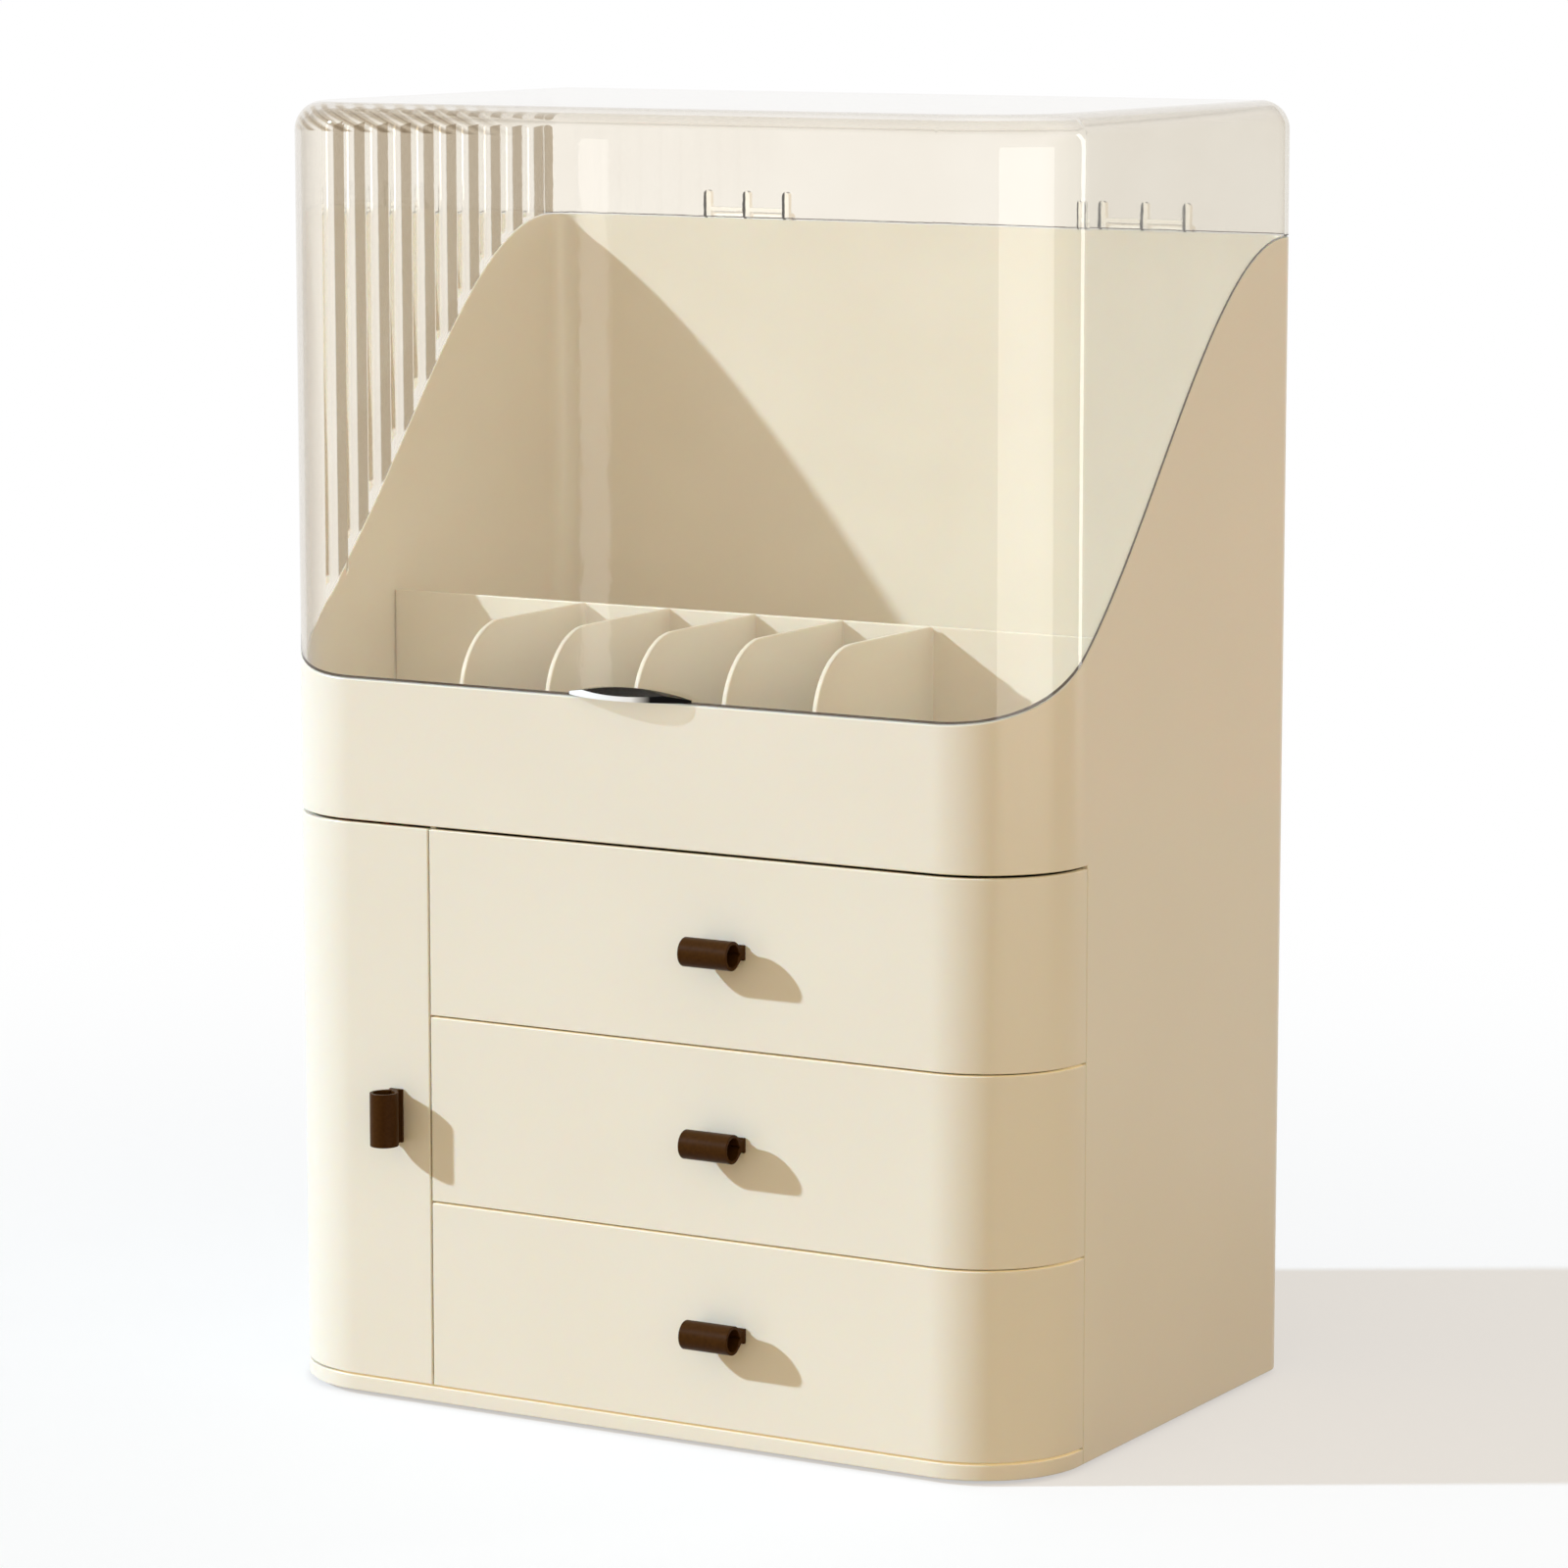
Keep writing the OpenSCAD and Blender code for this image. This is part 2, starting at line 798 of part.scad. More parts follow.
module door_pins() {
    color(STEEL)
        translate([pivot_x, pivot_y, 0]) {
            translate([0, 0, body_z + 1.5])
                cylinder(r = door_pin_r, h = first_z - body_z - 1.5 + door_pin_grip);
            translate([0, 0, first_z + door_h - door_pin_grip])
                cylinder(r = door_pin_r, h = band_z + tray_floor_h - 0.6
                    - first_z - door_h + door_pin_grip);
        }
}

// ---------- Hood ----------

// Block with the body's outline and a rounded top edge, shrunk by an inset
module domed_block(inset, z0) {
    r = hood_edge_r - inset;
    zc = hood_top_z - hood_edge_r;
    translate([0, 0, z0])
        linear_extrude(zc - z0)
            plan(inset);
    translate([0, 0, zc - 1])
        linear_extrude(r + 1)
            plan(hood_edge_r);
    straight_edge([corner_r - side_x, front_y + hood_edge_r, zc], body_w - 2 * corner_r, r, 0);
    straight_edge([side_x - back_r, back_y - hood_edge_r, zc], body_w - 2 * back_r, r, 180);
    straight_edge([side_x - hood_edge_r, corner_y, zc], back_corner_y - corner_y, r, 90);
    straight_edge([hood_edge_r - side_x, back_corner_y, zc], back_corner_y - corner_y, r, 270);
    edge_corner(side_x - corner_r, corner_y, corner_r, r, zc, 270);
    edge_corner(-side_x + corner_r, corner_y, corner_r, r, zc, 180);
    edge_corner(-side_x + back_r, back_corner_y, back_r, r, zc, 90);
    edge_corner(side_x - back_r, back_corner_y, back_r, r, zc, 0);
}

// Quarter of a disc between the axes
module quarter_disc(r) {
    intersection() {
        circle(r);
        square(r);
    }
}

// Rounded edge along a straight side; turn 0 is the front, running to +X
module straight_edge(start, l, r, turn) {
    translate(start)
        rotate([0, 0, turn])
            rotate([90, 0, 90])
                linear_extrude(l)
                    rotate(90)
                        quarter_disc(r);
}

// Rounded edge round one plan corner
module edge_corner(x, y, plan_r, r, z, turn) {
    translate([x, y, z])
        rotate([0, 0, turn])
            rotate_extrude(angle = 90)
                translate([plan_r - hood_edge_r, 0])
                    quarter_disc(r);
}

// Grooves between the flutes, in plan; the crests lie a hair below the smooth face
flute_crest = 0.05;
flute_y0 = corner_y + 1;
flute_y1 = back_corner_y - 1;
flute_pitch = (flute_y1 - flute_y0) / flute_count;
flute_r = flute_pitch * flute_pitch / (8 * flute_depth) + flute_depth / 2;

module flute_grooves() {
    difference() {
        rect(-side_x - 1, flute_y0, -side_x + flute_depth, flute_y1);
        for (i = [0 : flute_count - 1])
            translate([-side_x + flute_r + flute_crest, flute_y0 + (i + 0.5) * flute_pitch])
                circle(flute_r);
    }
}

// Crescent that a finger lifts the hood by; its upper face falls away to thin tips
module finger_tab() {
    arc_r = (tab_w * tab_w / 4 + tab_out * tab_out) / (2 * tab_out);
    crown = tab_edge + tab_rise - tab_tip;
    crown_r = (tab_w * tab_w / 4 + crown * crown) / (2 * crown);
    z0 = lip_z + 2 * hood_seam;
    intersection() {
        translate([0, front_y + 5, z0 + tab_edge + tab_rise - crown_r])
            rotate([90, 0, 0])
                cylinder(r = crown_r, h = tab_out + 10);
        translate([0, front_y - tab_out + arc_r, z0 - 5])
            cylinder(r = arc_r, h = 20);
        prism_x(-tab_w, tab_w)
            polygon([[front_y + 1, z0], [front_y - tab_out, z0],
                [front_y - tab_out, z0 + tab_edge], [front_y, z0 + tab_edge + tab_rise],
                [front_y + 1, z0 + tab_edge + tab_rise]]);
    }
}

module hood() {
    color(CLEAR) {
        difference() {
            intersection() {
                difference() {
                    domed_block(0, lip_z - 10);
                    domed_block(hood_wall, lip_z - 20);
                }
                above_rim();
            }
            translate([0, 0, lip_z - 10])
                linear_extrude(hood_top_z - 3 - lip_z + 10)
                    flute_grooves();
        }
        finger_tab();
    }
}

// ---------- Hood hinges ----------

// Leaf on the hood: three fingers, each ending in a knuckle, joined by a strip
module hinge_leaf(x) {
    color(CLEAR)
        difference() {
            union() {
                for (i = [-1 : 1])
                    translate([x + i * finger_pitch - finger_w / 2, 0, 0]) {
                        box([0, back_y, hinge_z], [finger_w, back_y + hinge_plate_t,
                            hinge_z + finger_h - finger_w / 2]);
                        translate([finger_w / 2, back_y + hinge_plate_t,
                            hinge_z + finger_h - finger_w / 2])
                            rotate([90, 0, 0])
                                cylinder(r = finger_w / 2, h = hinge_plate_t);
                        translate([0, hinge_y, hinge_z])
                            rotate([0, 90, 0])
                                cylinder(r = hinge_r, h = finger_w);
                    }
                box([x - finger_pitch, back_y, hinge_z + hinge_r + end_gap],
                    [x + finger_pitch, back_y + hinge_plate_t, hinge_z + hinge_r + end_gap + 1.6]);
            }
            hinge_bore(x);
        }
}

// Bracket on the body: a plate with two knuckles between the leaf's three
module hinge_bracket(x) {
    color(CLEAR)
        difference() {
            union() {
                box([x - leaf_w / 2, back_y, bracket_top_z - bracket_h],
                    [x + leaf_w / 2, back_y + hinge_plate_t, bracket_top_z]);
                for (s = [-1, 1])
                    translate([x + s * finger_pitch / 2 - bracket_knuckle_w / 2, 0, 0]) {
                        translate([0, hinge_y, hinge_z])
                            rotate([0, 90, 0])
                                cylinder(r = hinge_r, h = bracket_knuckle_w);
                        box([0, back_y, bracket_top_z - 1],
                            [bracket_knuckle_w, back_y + hinge_out, hinge_z - 1]);
                    }
            }
            hinge_bore(x);
            for (s = [-1, 1])
                translate([x + s * finger_pitch / 2, back_y + hinge_plate_t + 1,
                    bracket_top_z - bracket_h / 2])
                    rotate([90, 0, 0])
                        cylinder(r = screw_r + pin_gap, h = hinge_plate_t + 2);
        }
}

module hinge_bore(x) {
    translate([x - leaf_w, hinge_y, hinge_z])
        rotate([0, 90, 0])
            cylinder(r = hinge_pin_r + pin_gap, h = 2 * leaf_w);
}

module hinge_pin(x) {
    color(STEEL)
        translate([x - leaf_w / 2 - 0.5, hinge_y, hinge_z])
            rotate([0, 90, 0])
                cylinder(r = hinge_pin_r, h = leaf_w + 1);
}

module hinge_screws() {
    color(STEEL)
        for (x = [hinge_x_left, hinge_x_right], s = [-1, 1])
            translate([x + s * finger_pitch / 2, back_y + hinge_plate_t,
                bracket_top_z - bracket_h / 2])
                rotate([90, 0, 0]) {
                    translate([0, 0, -screw_head_h])
                        cylinder(r = screw_head_r, h = screw_head_h);
                    cylinder(r = screw_r, h = hinge_plate_t + wall - 0.7);
                }
}

body_shell();
base_plate();
feet();
base_screws();
centre_wall();
drawer_deck(1);  // lower_deck
drawer_deck(2);  // upper_deck
cabinet_shelf();
tray_floor();
rack_plate();
lipstick_rack();
door();
door_handle();
door_handle_screws();
door_pins();
catch_magnet();
catch_plate();
drawer_bin(0);  // drawer_bin_lower
drawer_bin(1);  // drawer_bin_middle
drawer_bin(2);  // drawer_bin_upper
drawer_front(0);  // drawer_front_lower
drawer_front(1);  // drawer_front_middle
drawer_front(2);  // drawer_front_upper
drawer_handle(0);  // drawer_handle_lower
drawer_handle(1);  // drawer_handle_middle
drawer_handle(2);  // drawer_handle_upper
drawer_screws(0);  // drawer_screws_lower
drawer_screws(1);  // drawer_screws_middle
drawer_screws(2);  // drawer_screws_upper
hood();
hinge_leaf(hinge_x_left);  // hinge_leaf_left
hinge_leaf(hinge_x_right);  // hinge_leaf_right
hinge_bracket(hinge_x_left);  // hinge_bracket_left
hinge_bracket(hinge_x_right);  // hinge_bracket_right
hinge_pin(hinge_x_left);  // hinge_pin_left
hinge_pin(hinge_x_right);  // hinge_pin_right
hinge_screws();
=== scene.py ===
# %% [markdown]
# # A makeup organizer with a clear hood
# This notebook dresses a finished CAD model: a moulded cream cabinet with three wrap-round
# drawers, a narrow side door, an open tray, and a clear hood that tips back over the tray.
# The CAD parts already have their true size and place, so nothing here moves them. What is
# added is everything the eye needs and a drawing leaves out: softened edges, surfaces that
# are never one flat colour, clear plastic that bends light, and a plain studio to see it in.

import json
import math

import bmesh
import bpy
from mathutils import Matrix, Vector


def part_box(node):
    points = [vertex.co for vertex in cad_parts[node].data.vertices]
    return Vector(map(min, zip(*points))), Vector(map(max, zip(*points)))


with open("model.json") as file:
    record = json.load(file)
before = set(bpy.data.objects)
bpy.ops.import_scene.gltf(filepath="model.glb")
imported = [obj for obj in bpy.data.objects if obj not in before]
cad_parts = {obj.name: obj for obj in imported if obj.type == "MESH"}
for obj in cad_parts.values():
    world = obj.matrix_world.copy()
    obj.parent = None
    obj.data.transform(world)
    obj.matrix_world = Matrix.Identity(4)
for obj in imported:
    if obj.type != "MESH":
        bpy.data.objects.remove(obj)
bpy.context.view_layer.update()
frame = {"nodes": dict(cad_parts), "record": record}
nodes = frame["nodes"]
MM = 0.001


print("CAD nodes:", len(nodes))

# %% [markdown]
# ## The camera
# The cabinet is seen from its right front corner, from a little above its top, through a
# long lens. A long lens keeps upright edges nearly parallel, which is how a product looks
# when somebody stands a few steps back instead of leaning in.

# %% Camera
camera_data = bpy.data.cameras.new("view")
camera_data.lens = 133.3
camera_data.sensor_width = 36.0
camera_data.sensor_fit = "HORIZONTAL"
camera = bpy.data.objects.new("view", camera_data)
camera.location = (1.0984, -1.8863, 0.5613)
camera.rotation_euler = (math.radians(90 - 8.583), 0.0, math.radians(30.098))
scene = bpy.context.scene
scene.collection.objects.link(camera)
scene.camera = camera
scene.view_settings.view_transform = "Standard"
print("camera at", [round(v, 3) for v in camera.location])

# %% [markdown]
# ## Helpers for building node trees
# Node trees are easier to read as code when adding a node and joining two sockets are one
# short call each. `add` makes a node and sets its values by socket name, and `join` links.
# `maths`, `eased` and `mixed` cover the three nodes that turn up most: a sum, a ramp from
# 0 to 1, and a mix of two colours. Each takes sockets or plain numbers and gives an output.


# %% Node helpers
def add(tree, kind, label="", at=(0, 0), **values):
    """Adds a node; keyword names are sockets (with _ for a space) or the node's own options."""
    n = tree.nodes.new(kind)
    n.label = label
    n.location = at
    for key, value in values.items():
        name = key.replace("_", " ")
        if name in n.inputs:
            n.inputs[name].default_value = value
        else:
            setattr(n, key, value)
    return n


def join(tree, out, into):
    """Joins an output socket to an input socket."""
    tree.links.new(out, into)


def feed(tree, value, socket):
    """Gives an input either another socket's output or a plain value."""
    if hasattr(value, "default_value"):
        join(tree, value, socket)
    else:
        socket.default_value = value


def maths(tree, label, kind, at, *values):
    """A math node whose inputs are sockets or plain numbers; its output."""
    n = add(tree, "ShaderNodeMath", label, at, operation=kind)
    for value, socket in zip(values, n.inputs):
        feed(tree, value, socket)
    return n.outputs[0]


def eased(tree, label, at, value, low, high, smooth=True):
    """A value going from 0 to 1 while another goes from low to high, soft at both ends."""
    n = add(tree, "ShaderNodeMapRange", label, at)
    n.interpolation_type = "SMOOTHSTEP" if smooth else "LINEAR"
    n.inputs["From Min"].default_value = low
    n.inputs["From Max"].default_value = high
    join(tree, value, n.inputs["Value"])
    return n.outputs["Result"]


def mixed(tree, label, at, amount, first, second, **options):
    """Two colours, sockets or plain, mixed by an amount."""
    n = add(tree, "ShaderNodeMix", label, at, data_type="RGBA", **options)
    join(tree, amount, n.inputs["Factor"])
    feed(tree, first, n.inputs[6])
    feed(tree, second, n.inputs[7])
    return n.outputs[2]


def new_group(name, inputs, outputs):
    """A shader node group with named sockets, and its two end nodes."""
    g = bpy.data.node_groups.new(name, "ShaderNodeTree")
    for label, kind, value in inputs:
        s = g.interface.new_socket(name=label, in_out="INPUT", socket_type=kind)
        if value is not None:
            s.default_value = value
    for label, kind in outputs:
        g.interface.new_socket(name=label, in_out="OUTPUT", socket_type=kind)
    start = g.nodes.new("NodeGroupInput")
    start.location = (-900, 0)
    end = g.nodes.new("NodeGroupOutput")
    end.location = (700, 0)
    return g, start, end


FLOAT, COLOUR, VECTOR = "NodeSocketFloat", "NodeSocketColor", "NodeSocketVector"
print("helpers ready:", [f.__name__ for f in (add, join, feed, maths, eased, mixed, new_group)])

# %% [markdown]
# ## The stage
# A wide pale sheet stands in for a studio floor. It keeps the object's shadow, and it fades
# to plain white further out, so the picture has no horizon. The sheet's white is what the
# camera and shiny surfaces see; the light that it throws back up is a softer, warmer tone,
# as it would be from a sheet of uncoated paper.


# %% Floor
def white_for_eyes(tree, warm, white=(1.0, 1.0, 1.0, 1.0)):
    """A colour that is white to the camera, mirrors and glass, and warm to bounced light."""
    rays = add(tree, "ShaderNodeLightPath", "ray kind", (-1100, 300)).outputs
    seen = maths(tree, "camera or gloss", "MAXIMUM", (-900, 300),
                 rays["Is Camera Ray"], rays["Is Glossy Ray"])
    clear = maths(tree, "or through glass", "MAXIMUM", (-700, 300), seen, rays["Is Transmission Ray"])
    direct = maths(tree, "not bounced yet", "LESS_THAN", (-900, 100), rays["Diffuse Depth"], 0.5)
    eyes = maths(tree, "eyes", "MULTIPLY", (-500, 200), clear, direct)
    return mixed(tree, "warm or white", (-300, 300), eyes, warm, white), eyes


floor_material = bpy.data.materials.new("studio_floor")
floor_material.use_nodes = True
t = floor_material.node_tree
t.nodes.clear()
floor_colour, seen_by_eye = white_for_eyes(t, (0.42, 0.30, 0.15, 1.0), (0.93, 0.93, 0.93, 1.0))
paper = add(t, "ShaderNodeBsdfDiffuse", "paper", (0, 300))
join(t, floor_colour, paper.inputs["Color"])
far_white = add(t, "ShaderNodeEmission", "far white", (0, 100), Strength=1.0)
place = add(t, "ShaderNodeTexCoord", "place", (-900, -100))
reach = add(t, "ShaderNodeVectorMath", "distance", (-700, -100), operation="LENGTH")
join(t, place.outputs["Object"], reach.inputs[0])
fade = eased(t, "fade out", (-500, -100), reach.outputs["Value"], 0.35, 1.1)
fade.node.inputs["To Min"].default_value = 0.5
only_eyes = maths(t, "only for eyes", "MULTIPLY", (-300, -100), fade, seen_by_eye)
blend = add(t, "ShaderNodeMixShader", "near to far", (250, 200))
join(t, only_eyes, blend.inputs[0])
join(t, paper.outputs[0], blend.inputs[1])
join(t, far_white.outputs[0], blend.inputs[2])
join(t, blend.outputs[0], add(t, "ShaderNodeOutputMaterial", "out", (450, 200)).inputs["Surface"])

sheet = bmesh.new()
bmesh.ops.create_grid(sheet, x_segments=8, y_segments=8, size=6.0)
floor_mesh = bpy.data.meshes.new("studio_floor")
sheet.to_mesh(floor_mesh)
sheet.free()
floor = bpy.data.objects.new("studio_floor", floor_mesh)
floor_mesh.materials.append(floor_material)
scene.collection.objects.link(floor)
print("floor", [round(v, 2) for v in floor.dimensions])

# %% [markdown]
# ## The light
# One hard key comes from the left, in front and above, at about the height of a low
# window: it draws the crisp shadows beside the handles. A big warm soft box on the right
# opens those shadows, and the world adds a little light from everywhere. The three
# together come to a plain level, so a colour renders about as it is written. A weaker soft
# box stands behind, so the back wall and its hinges can be read as well.
#
# The two windows light nothing. They are only there to be mirrored in the clear plastic,
# the way a bright window shows in a case on a dressing table. No lamp is seen itself, and
# none shows through the plastic, just as a studio's lamps stand outside the picture.


# %% Lamps and world
def lamp(name, kind, energy, colour, position, target, **settings):
    """A lamp at a position, turned to face a target."""
    data = bpy.data.lights.new(name, kind)
    data.energy = energy
    data.color = colour
    for key, value in settings.items():
        setattr(data, key, value)
    ob = bpy.data.objects.new(name, data)
    ob.location = position
    aim = Vector(target) - Vector(position)
    ob.rotation_euler = aim.to_track_quat("-Z", "Y").to_euler()
    scene.collection.objects.link(ob)
    return ob


def panel(name, watts, colour, position, target, width, height):
    """A flat soft lamp that is never seen itself."""
    ob = lamp(name, "AREA", watts, colour, position, target,
              shape="RECTANGLE", size=width, size_y=height)
    ob.visible_camera = False
    ob.visible_transmission = False
    return ob


middle = Vector((0.0, 0.0, 0.24))
key_from = middle - 3.0 * Vector((0.76, 0.46, -0.46))
lamp("key", "SUN", 4.0, (0.64, 0.805, 1.0), key_from, middle, angle=math.radians(1.6))
panel("side_box", 3.7, (1.0, 0.82, 0.52), (1.95, -0.52, 0.76), (0, 0, 0.76), 3.2, 1.5)
panel("edge_strip", 4.5, (1.0, 0.98, 0.95), (1.45, 1.48, 0.5), (0.16, -0.06, 0.5), 0.22, 1.6)
back_box = panel("back_box", 5.0, (1.0, 0.94, 0.84), (-0.55, 2.2, 0.62), (0, 0, 0.5), 3.0, 1.0)
back_box.visible_glossy = False
for window in (
    panel("window_right", 5.4, (1.0, 1.0, 0.98), (1.36, -0.556, 0.27), (0.15, -0.09, 0.27), 1.5, 0.5),
    panel("window_left", 0.065, (1.0, 1.0, 1.0), (-0.806, -1.37, 0.30), (-0.01, -0.10, 0.38), 0.018, 0.6),
):
    window.visible_diffuse = False

world = bpy.data.worlds.new("studio")
scene.world = world
world.use_nodes = True
w = world.node_tree
w.nodes.clear()
direction = add(w, "ShaderNodeTexCoord", "direction", (-1100, -100))
toward = add(w, "ShaderNodeVectorMath", "towards front right", (-900, -100), operation="DOT_PRODUCT")
toward.inputs[1].default_value = (0.43, -0.90, 0.0)
join(w, direction.outputs["Generated"], toward.inputs[0])
side_to_side = eased(w, "back to front", (-700, -100), toward.outputs["Value"], -1.0, 1.0, smooth=False)
wall_tone = mixed(w, "dim behind, open in front", (-500, -100), side_to_side,
                  (0.17, 0.13, 0.09, 1.0), (0.92, 0.81, 0.65, 1.0))
air_colour, _ = white_for_eyes(w, wall_tone)
air = add(w, "ShaderNodeBackground", "air", (0, 300), Strength=1.0)
join(w, air_colour, air.inputs["Color"])
join(w, air.outputs[0], add(w, "ShaderNodeOutputWorld", "out", (250, 300)).inputs["Surface"])

# %% [markdown]
# ## What moulded plastic looks like up close
# Injection-moulded plastic is never perfectly even. The melt flows and cools unevenly, so
# the tone drifts by a per cent or two over a hand's width; the steel of the mould leaves a
# very fine texture; and hands leave patches that are slightly shinier. The group below
# makes these three as plain values that every plastic here can share: `Drift` for the slow
# change of tone, `Grain` for the height of the fine texture, and `Touch` for the patches.

# %% Group: moulded surface
moulded, start, end = new_group(
    "Moulded surface",
    [("Drift Size", FLOAT, 0.09), ("Grain Size", FLOAT, 0.0012), ("Touch Size", FLOAT, 0.05)],
    [("Drift", FLOAT), ("Grain", FLOAT), ("Touch", FLOAT)],
)
place = add(moulded, "ShaderNodeTexCoord", "metres", (-900, 300))


def sized_noise(tree, size_socket, where, label, at, detail, rough):
    """A noise whose pattern size in metres comes from a socket."""
    inverse = maths(tree, label + " scale", "DIVIDE", (at[0] - 200, at[1]), 1.0, size_socket)
    n = add(tree, "ShaderNodeTexNoise", label, at, Detail=detail, Roughness=rough)
    join(tree, where, n.inputs["Vector"])
    join(tree, inverse, n.inputs["Scale"])
    return n.outputs["Fac"]


metres = place.outputs["Object"]
drift = sized_noise(moulded, start.outputs["Drift Size"], metres, "drift", (-200, 300), 2.0, 0.4)
grain = sized_noise(moulded, start.outputs["Grain Size"], metres, "grain", (-200, 50), 3.0, 0.55)
touch = sized_noise(moulded, start.outputs["Touch Size"], metres, "touch", (-200, -200), 4.0, 0.6)
patches = eased(moulded, "patches", (50, -200), touch, 0.25, 0.8)
join(moulded, drift, end.inputs["Drift"])
join(moulded, grain, end.inputs["Grain"])
join(moulded, patches, end.inputs["Touch"])
print("group:", moulded.name, [s.name for s in moulded.interface.items_tree])

# %% [markdown]
# Two smaller groups turn such a value into what a shader wants. One moves a colour a little
# towards another one as the value rises, and the other swings a roughness about its middle.

# %% Group: two tones, and swing
two_tones, start, end = new_group(
    "Two tones",
    [("Value", FLOAT, 0.5), ("Low", COLOUR, (0.5, 0.5, 0.5, 1)), ("High", COLOUR, (0.6, 0.6, 0.6, 1))],
    [("Color", COLOUR)],
)
spread = eased(two_tones, "spread", (-500, 0), start.outputs["Value"], 0.3, 0.7, smooth=False)
tone = mixed(two_tones, "mix", (0, 0), spread, start.outputs["Low"], start.outputs["High"])
join(two_tones, tone, end.inputs["Color"])

swing, start, end = new_group(
    "Swing",
    [("Value", FLOAT, 0.5), ("Middle", FLOAT, 0.3), ("Swing", FLOAT, 0.05)],
    [("Result", FLOAT)],
)
centred = maths(swing, "centre", "SUBTRACT", (-500, 0), start.outputs["Value"], 0.5)
scaled = maths(swing, "scale", "MULTIPLY", (-250, 0), centred, start.outputs["Swing"])
summed = maths(swing, "sum", "ADD", (0, 0), scaled, start.outputs["Middle"])
join(swing, summed, end.inputs["Result"])
print("groups:", two_tones.name, "and", swing.name)

# %% [markdown]
# A third surface group makes long fine streaks. Steel that was drawn or turned has them
# along its length, and so does the brown lacquer on the handles, where the brush or the
# tumbling left its direction. The streaks are a noise squeezed hard across one axis.

# %% Group: streaks
streaks, start, end = new_group(
    "Streaks",
    [("Across", VECTOR, (900.0, 900.0, 60.0)), ("Depth", FLOAT, 0.5)],
    [("Streak", FLOAT), ("Height", FLOAT)],
)
place = add(streaks, "ShaderNodeTexCoord", "metres", (-900, 300))
squeeze = add(streaks, "ShaderNodeVectorMath", "squeeze", (-500, 200), operation="MULTIPLY")
join(streaks, place.outputs["Object"], squeeze.inputs[0])
join(streaks, start.outputs["Across"], squeeze.inputs[1])
lines = add(streaks, "ShaderNodeTexNoise", "lines", (-250, 200), Scale=1.0, Detail=4.0, Roughness=0.6)
join(streaks, squeeze.outputs[0], lines.inputs["Vector"])
deep = maths(streaks, "depth", "MULTIPLY", (0, 100), lines.outputs["Fac"], start.outputs["Depth"])
join(streaks, lines.outputs["Fac"], end.inputs["Streak"])
join(streaks, deep, end.inputs["Height"])
print("group:", streaks.name)

# %% [markdown]
# ## From surface to material
# A material here is one physically based shader. The groups above feed its colour and its
# roughness, and a height goes to its normal through a Bump node, so light really does catch
# on the grain. What stays the same all over a part is set on the shader itself.


# %% Material helpers
def use_group(tree, group, at, **values):
    """Places a group and sets its sockets by name."""
    n = tree.nodes.new("ShaderNodeGroup")
    n.node_tree = group
    n.location = at
    n.label = group.name
    for key, value in values.items():
        n.inputs[key.replace("_", " ")].default_value = value
    return n


def new_material(name):
    """A material with one Principled shader joined to its output."""
    m = bpy.data.materials.new(name)
    m.use_nodes = True
    m.node_tree.nodes.clear()
    shader = add(m.node_tree, "ShaderNodeBsdfPrincipled", name, (300, 0))
    out = add(m.node_tree, "ShaderNodeOutputMaterial", "out", (700, 0))
    join(m.node_tree, shader.outputs["BSDF"], out.inputs["Surface"])
    return m, m.node_tree, shader, out


def bump(tree, height, strength, distance, shader):
    """Joins a height to the shader's normal through a Bump node."""
    b = add(tree, "ShaderNodeBump", "fine relief", (50, -300), Strength=strength, Distance=distance)
    join(tree, height, b.inputs["Height"])
    join(tree, b.outputs["Normal"], shader.inputs["Normal"])


print("helpers ready:", [f.__name__ for f in (use_group, new_material, bump)])

# %% [markdown]
# ## Cream plastic
# The cabinet's outer parts are ivory coloured ABS, moulded in a polished tool, so they are
# semi-glossy: a lamp shows in them as a soft bright band and not as a mirror image. The
# drawers' bins are the same plastic from a duller tool. Both use the same groups with
# different numbers, which keeps them related the way real parts of one product are.


# %% Cream plastics
def moulded_plastic(name, low, high, middle, swing_by, grain_size, relief, **fixed):
    """An opaque moulded plastic whose tone, sheen and fine relief all vary a little."""
    m, tree, shader, _ = new_material(name)
    surface = use_group(tree, moulded, (-600, 0), Grain_Size=grain_size)
    tones = use_group(tree, two_tones, (-300, 200), Low=low, High=high)
    sheen = use_group(tree, swing, (-300, -50), Middle=middle, Swing=swing_by)
    join(tree, surface.outputs["Drift"], tones.inputs["Value"])
    join(tree, surface.outputs["Touch"], sheen.inputs["Value"])
    join(tree, tones.outputs["Color"], shader.inputs["Base Color"])
    join(tree, sheen.outputs["Result"], shader.inputs["Roughness"])
    bump(tree, surface.outputs["Grain"], relief, 0.0004, shader)
    for key, value in fixed.items():
        shader.inputs[key.replace("_", " ")].default_value = value
    return m


cream = moulded_plastic("cream_plastic", (0.822, 0.766, 0.645, 1), (0.838, 0.784, 0.664, 1),
                        0.28, -0.008, 0.0014, 0.012, IOR=1.5,
                        Subsurface_Weight=0.3, Subsurface_Radius=(1.0, 0.62, 0.35), Subsurface_Scale=0.002)
bin_cream = moulded_plastic("drawer_bin_plastic", (0.820, 0.765, 0.640, 1), (0.850, 0.800, 0.680, 1),
                            0.46, -0.08, 0.0009, 0.12, IOR=1.5)
rubber = moulded_plastic("foot_rubber", (0.060, 0.056, 0.052, 1), (0.090, 0.085, 0.078, 1),
                         0.72, 0.10, 0.0007, 0.35, IOR=1.5)
print("made", cream.name, bin_cream.name, rubber.name)

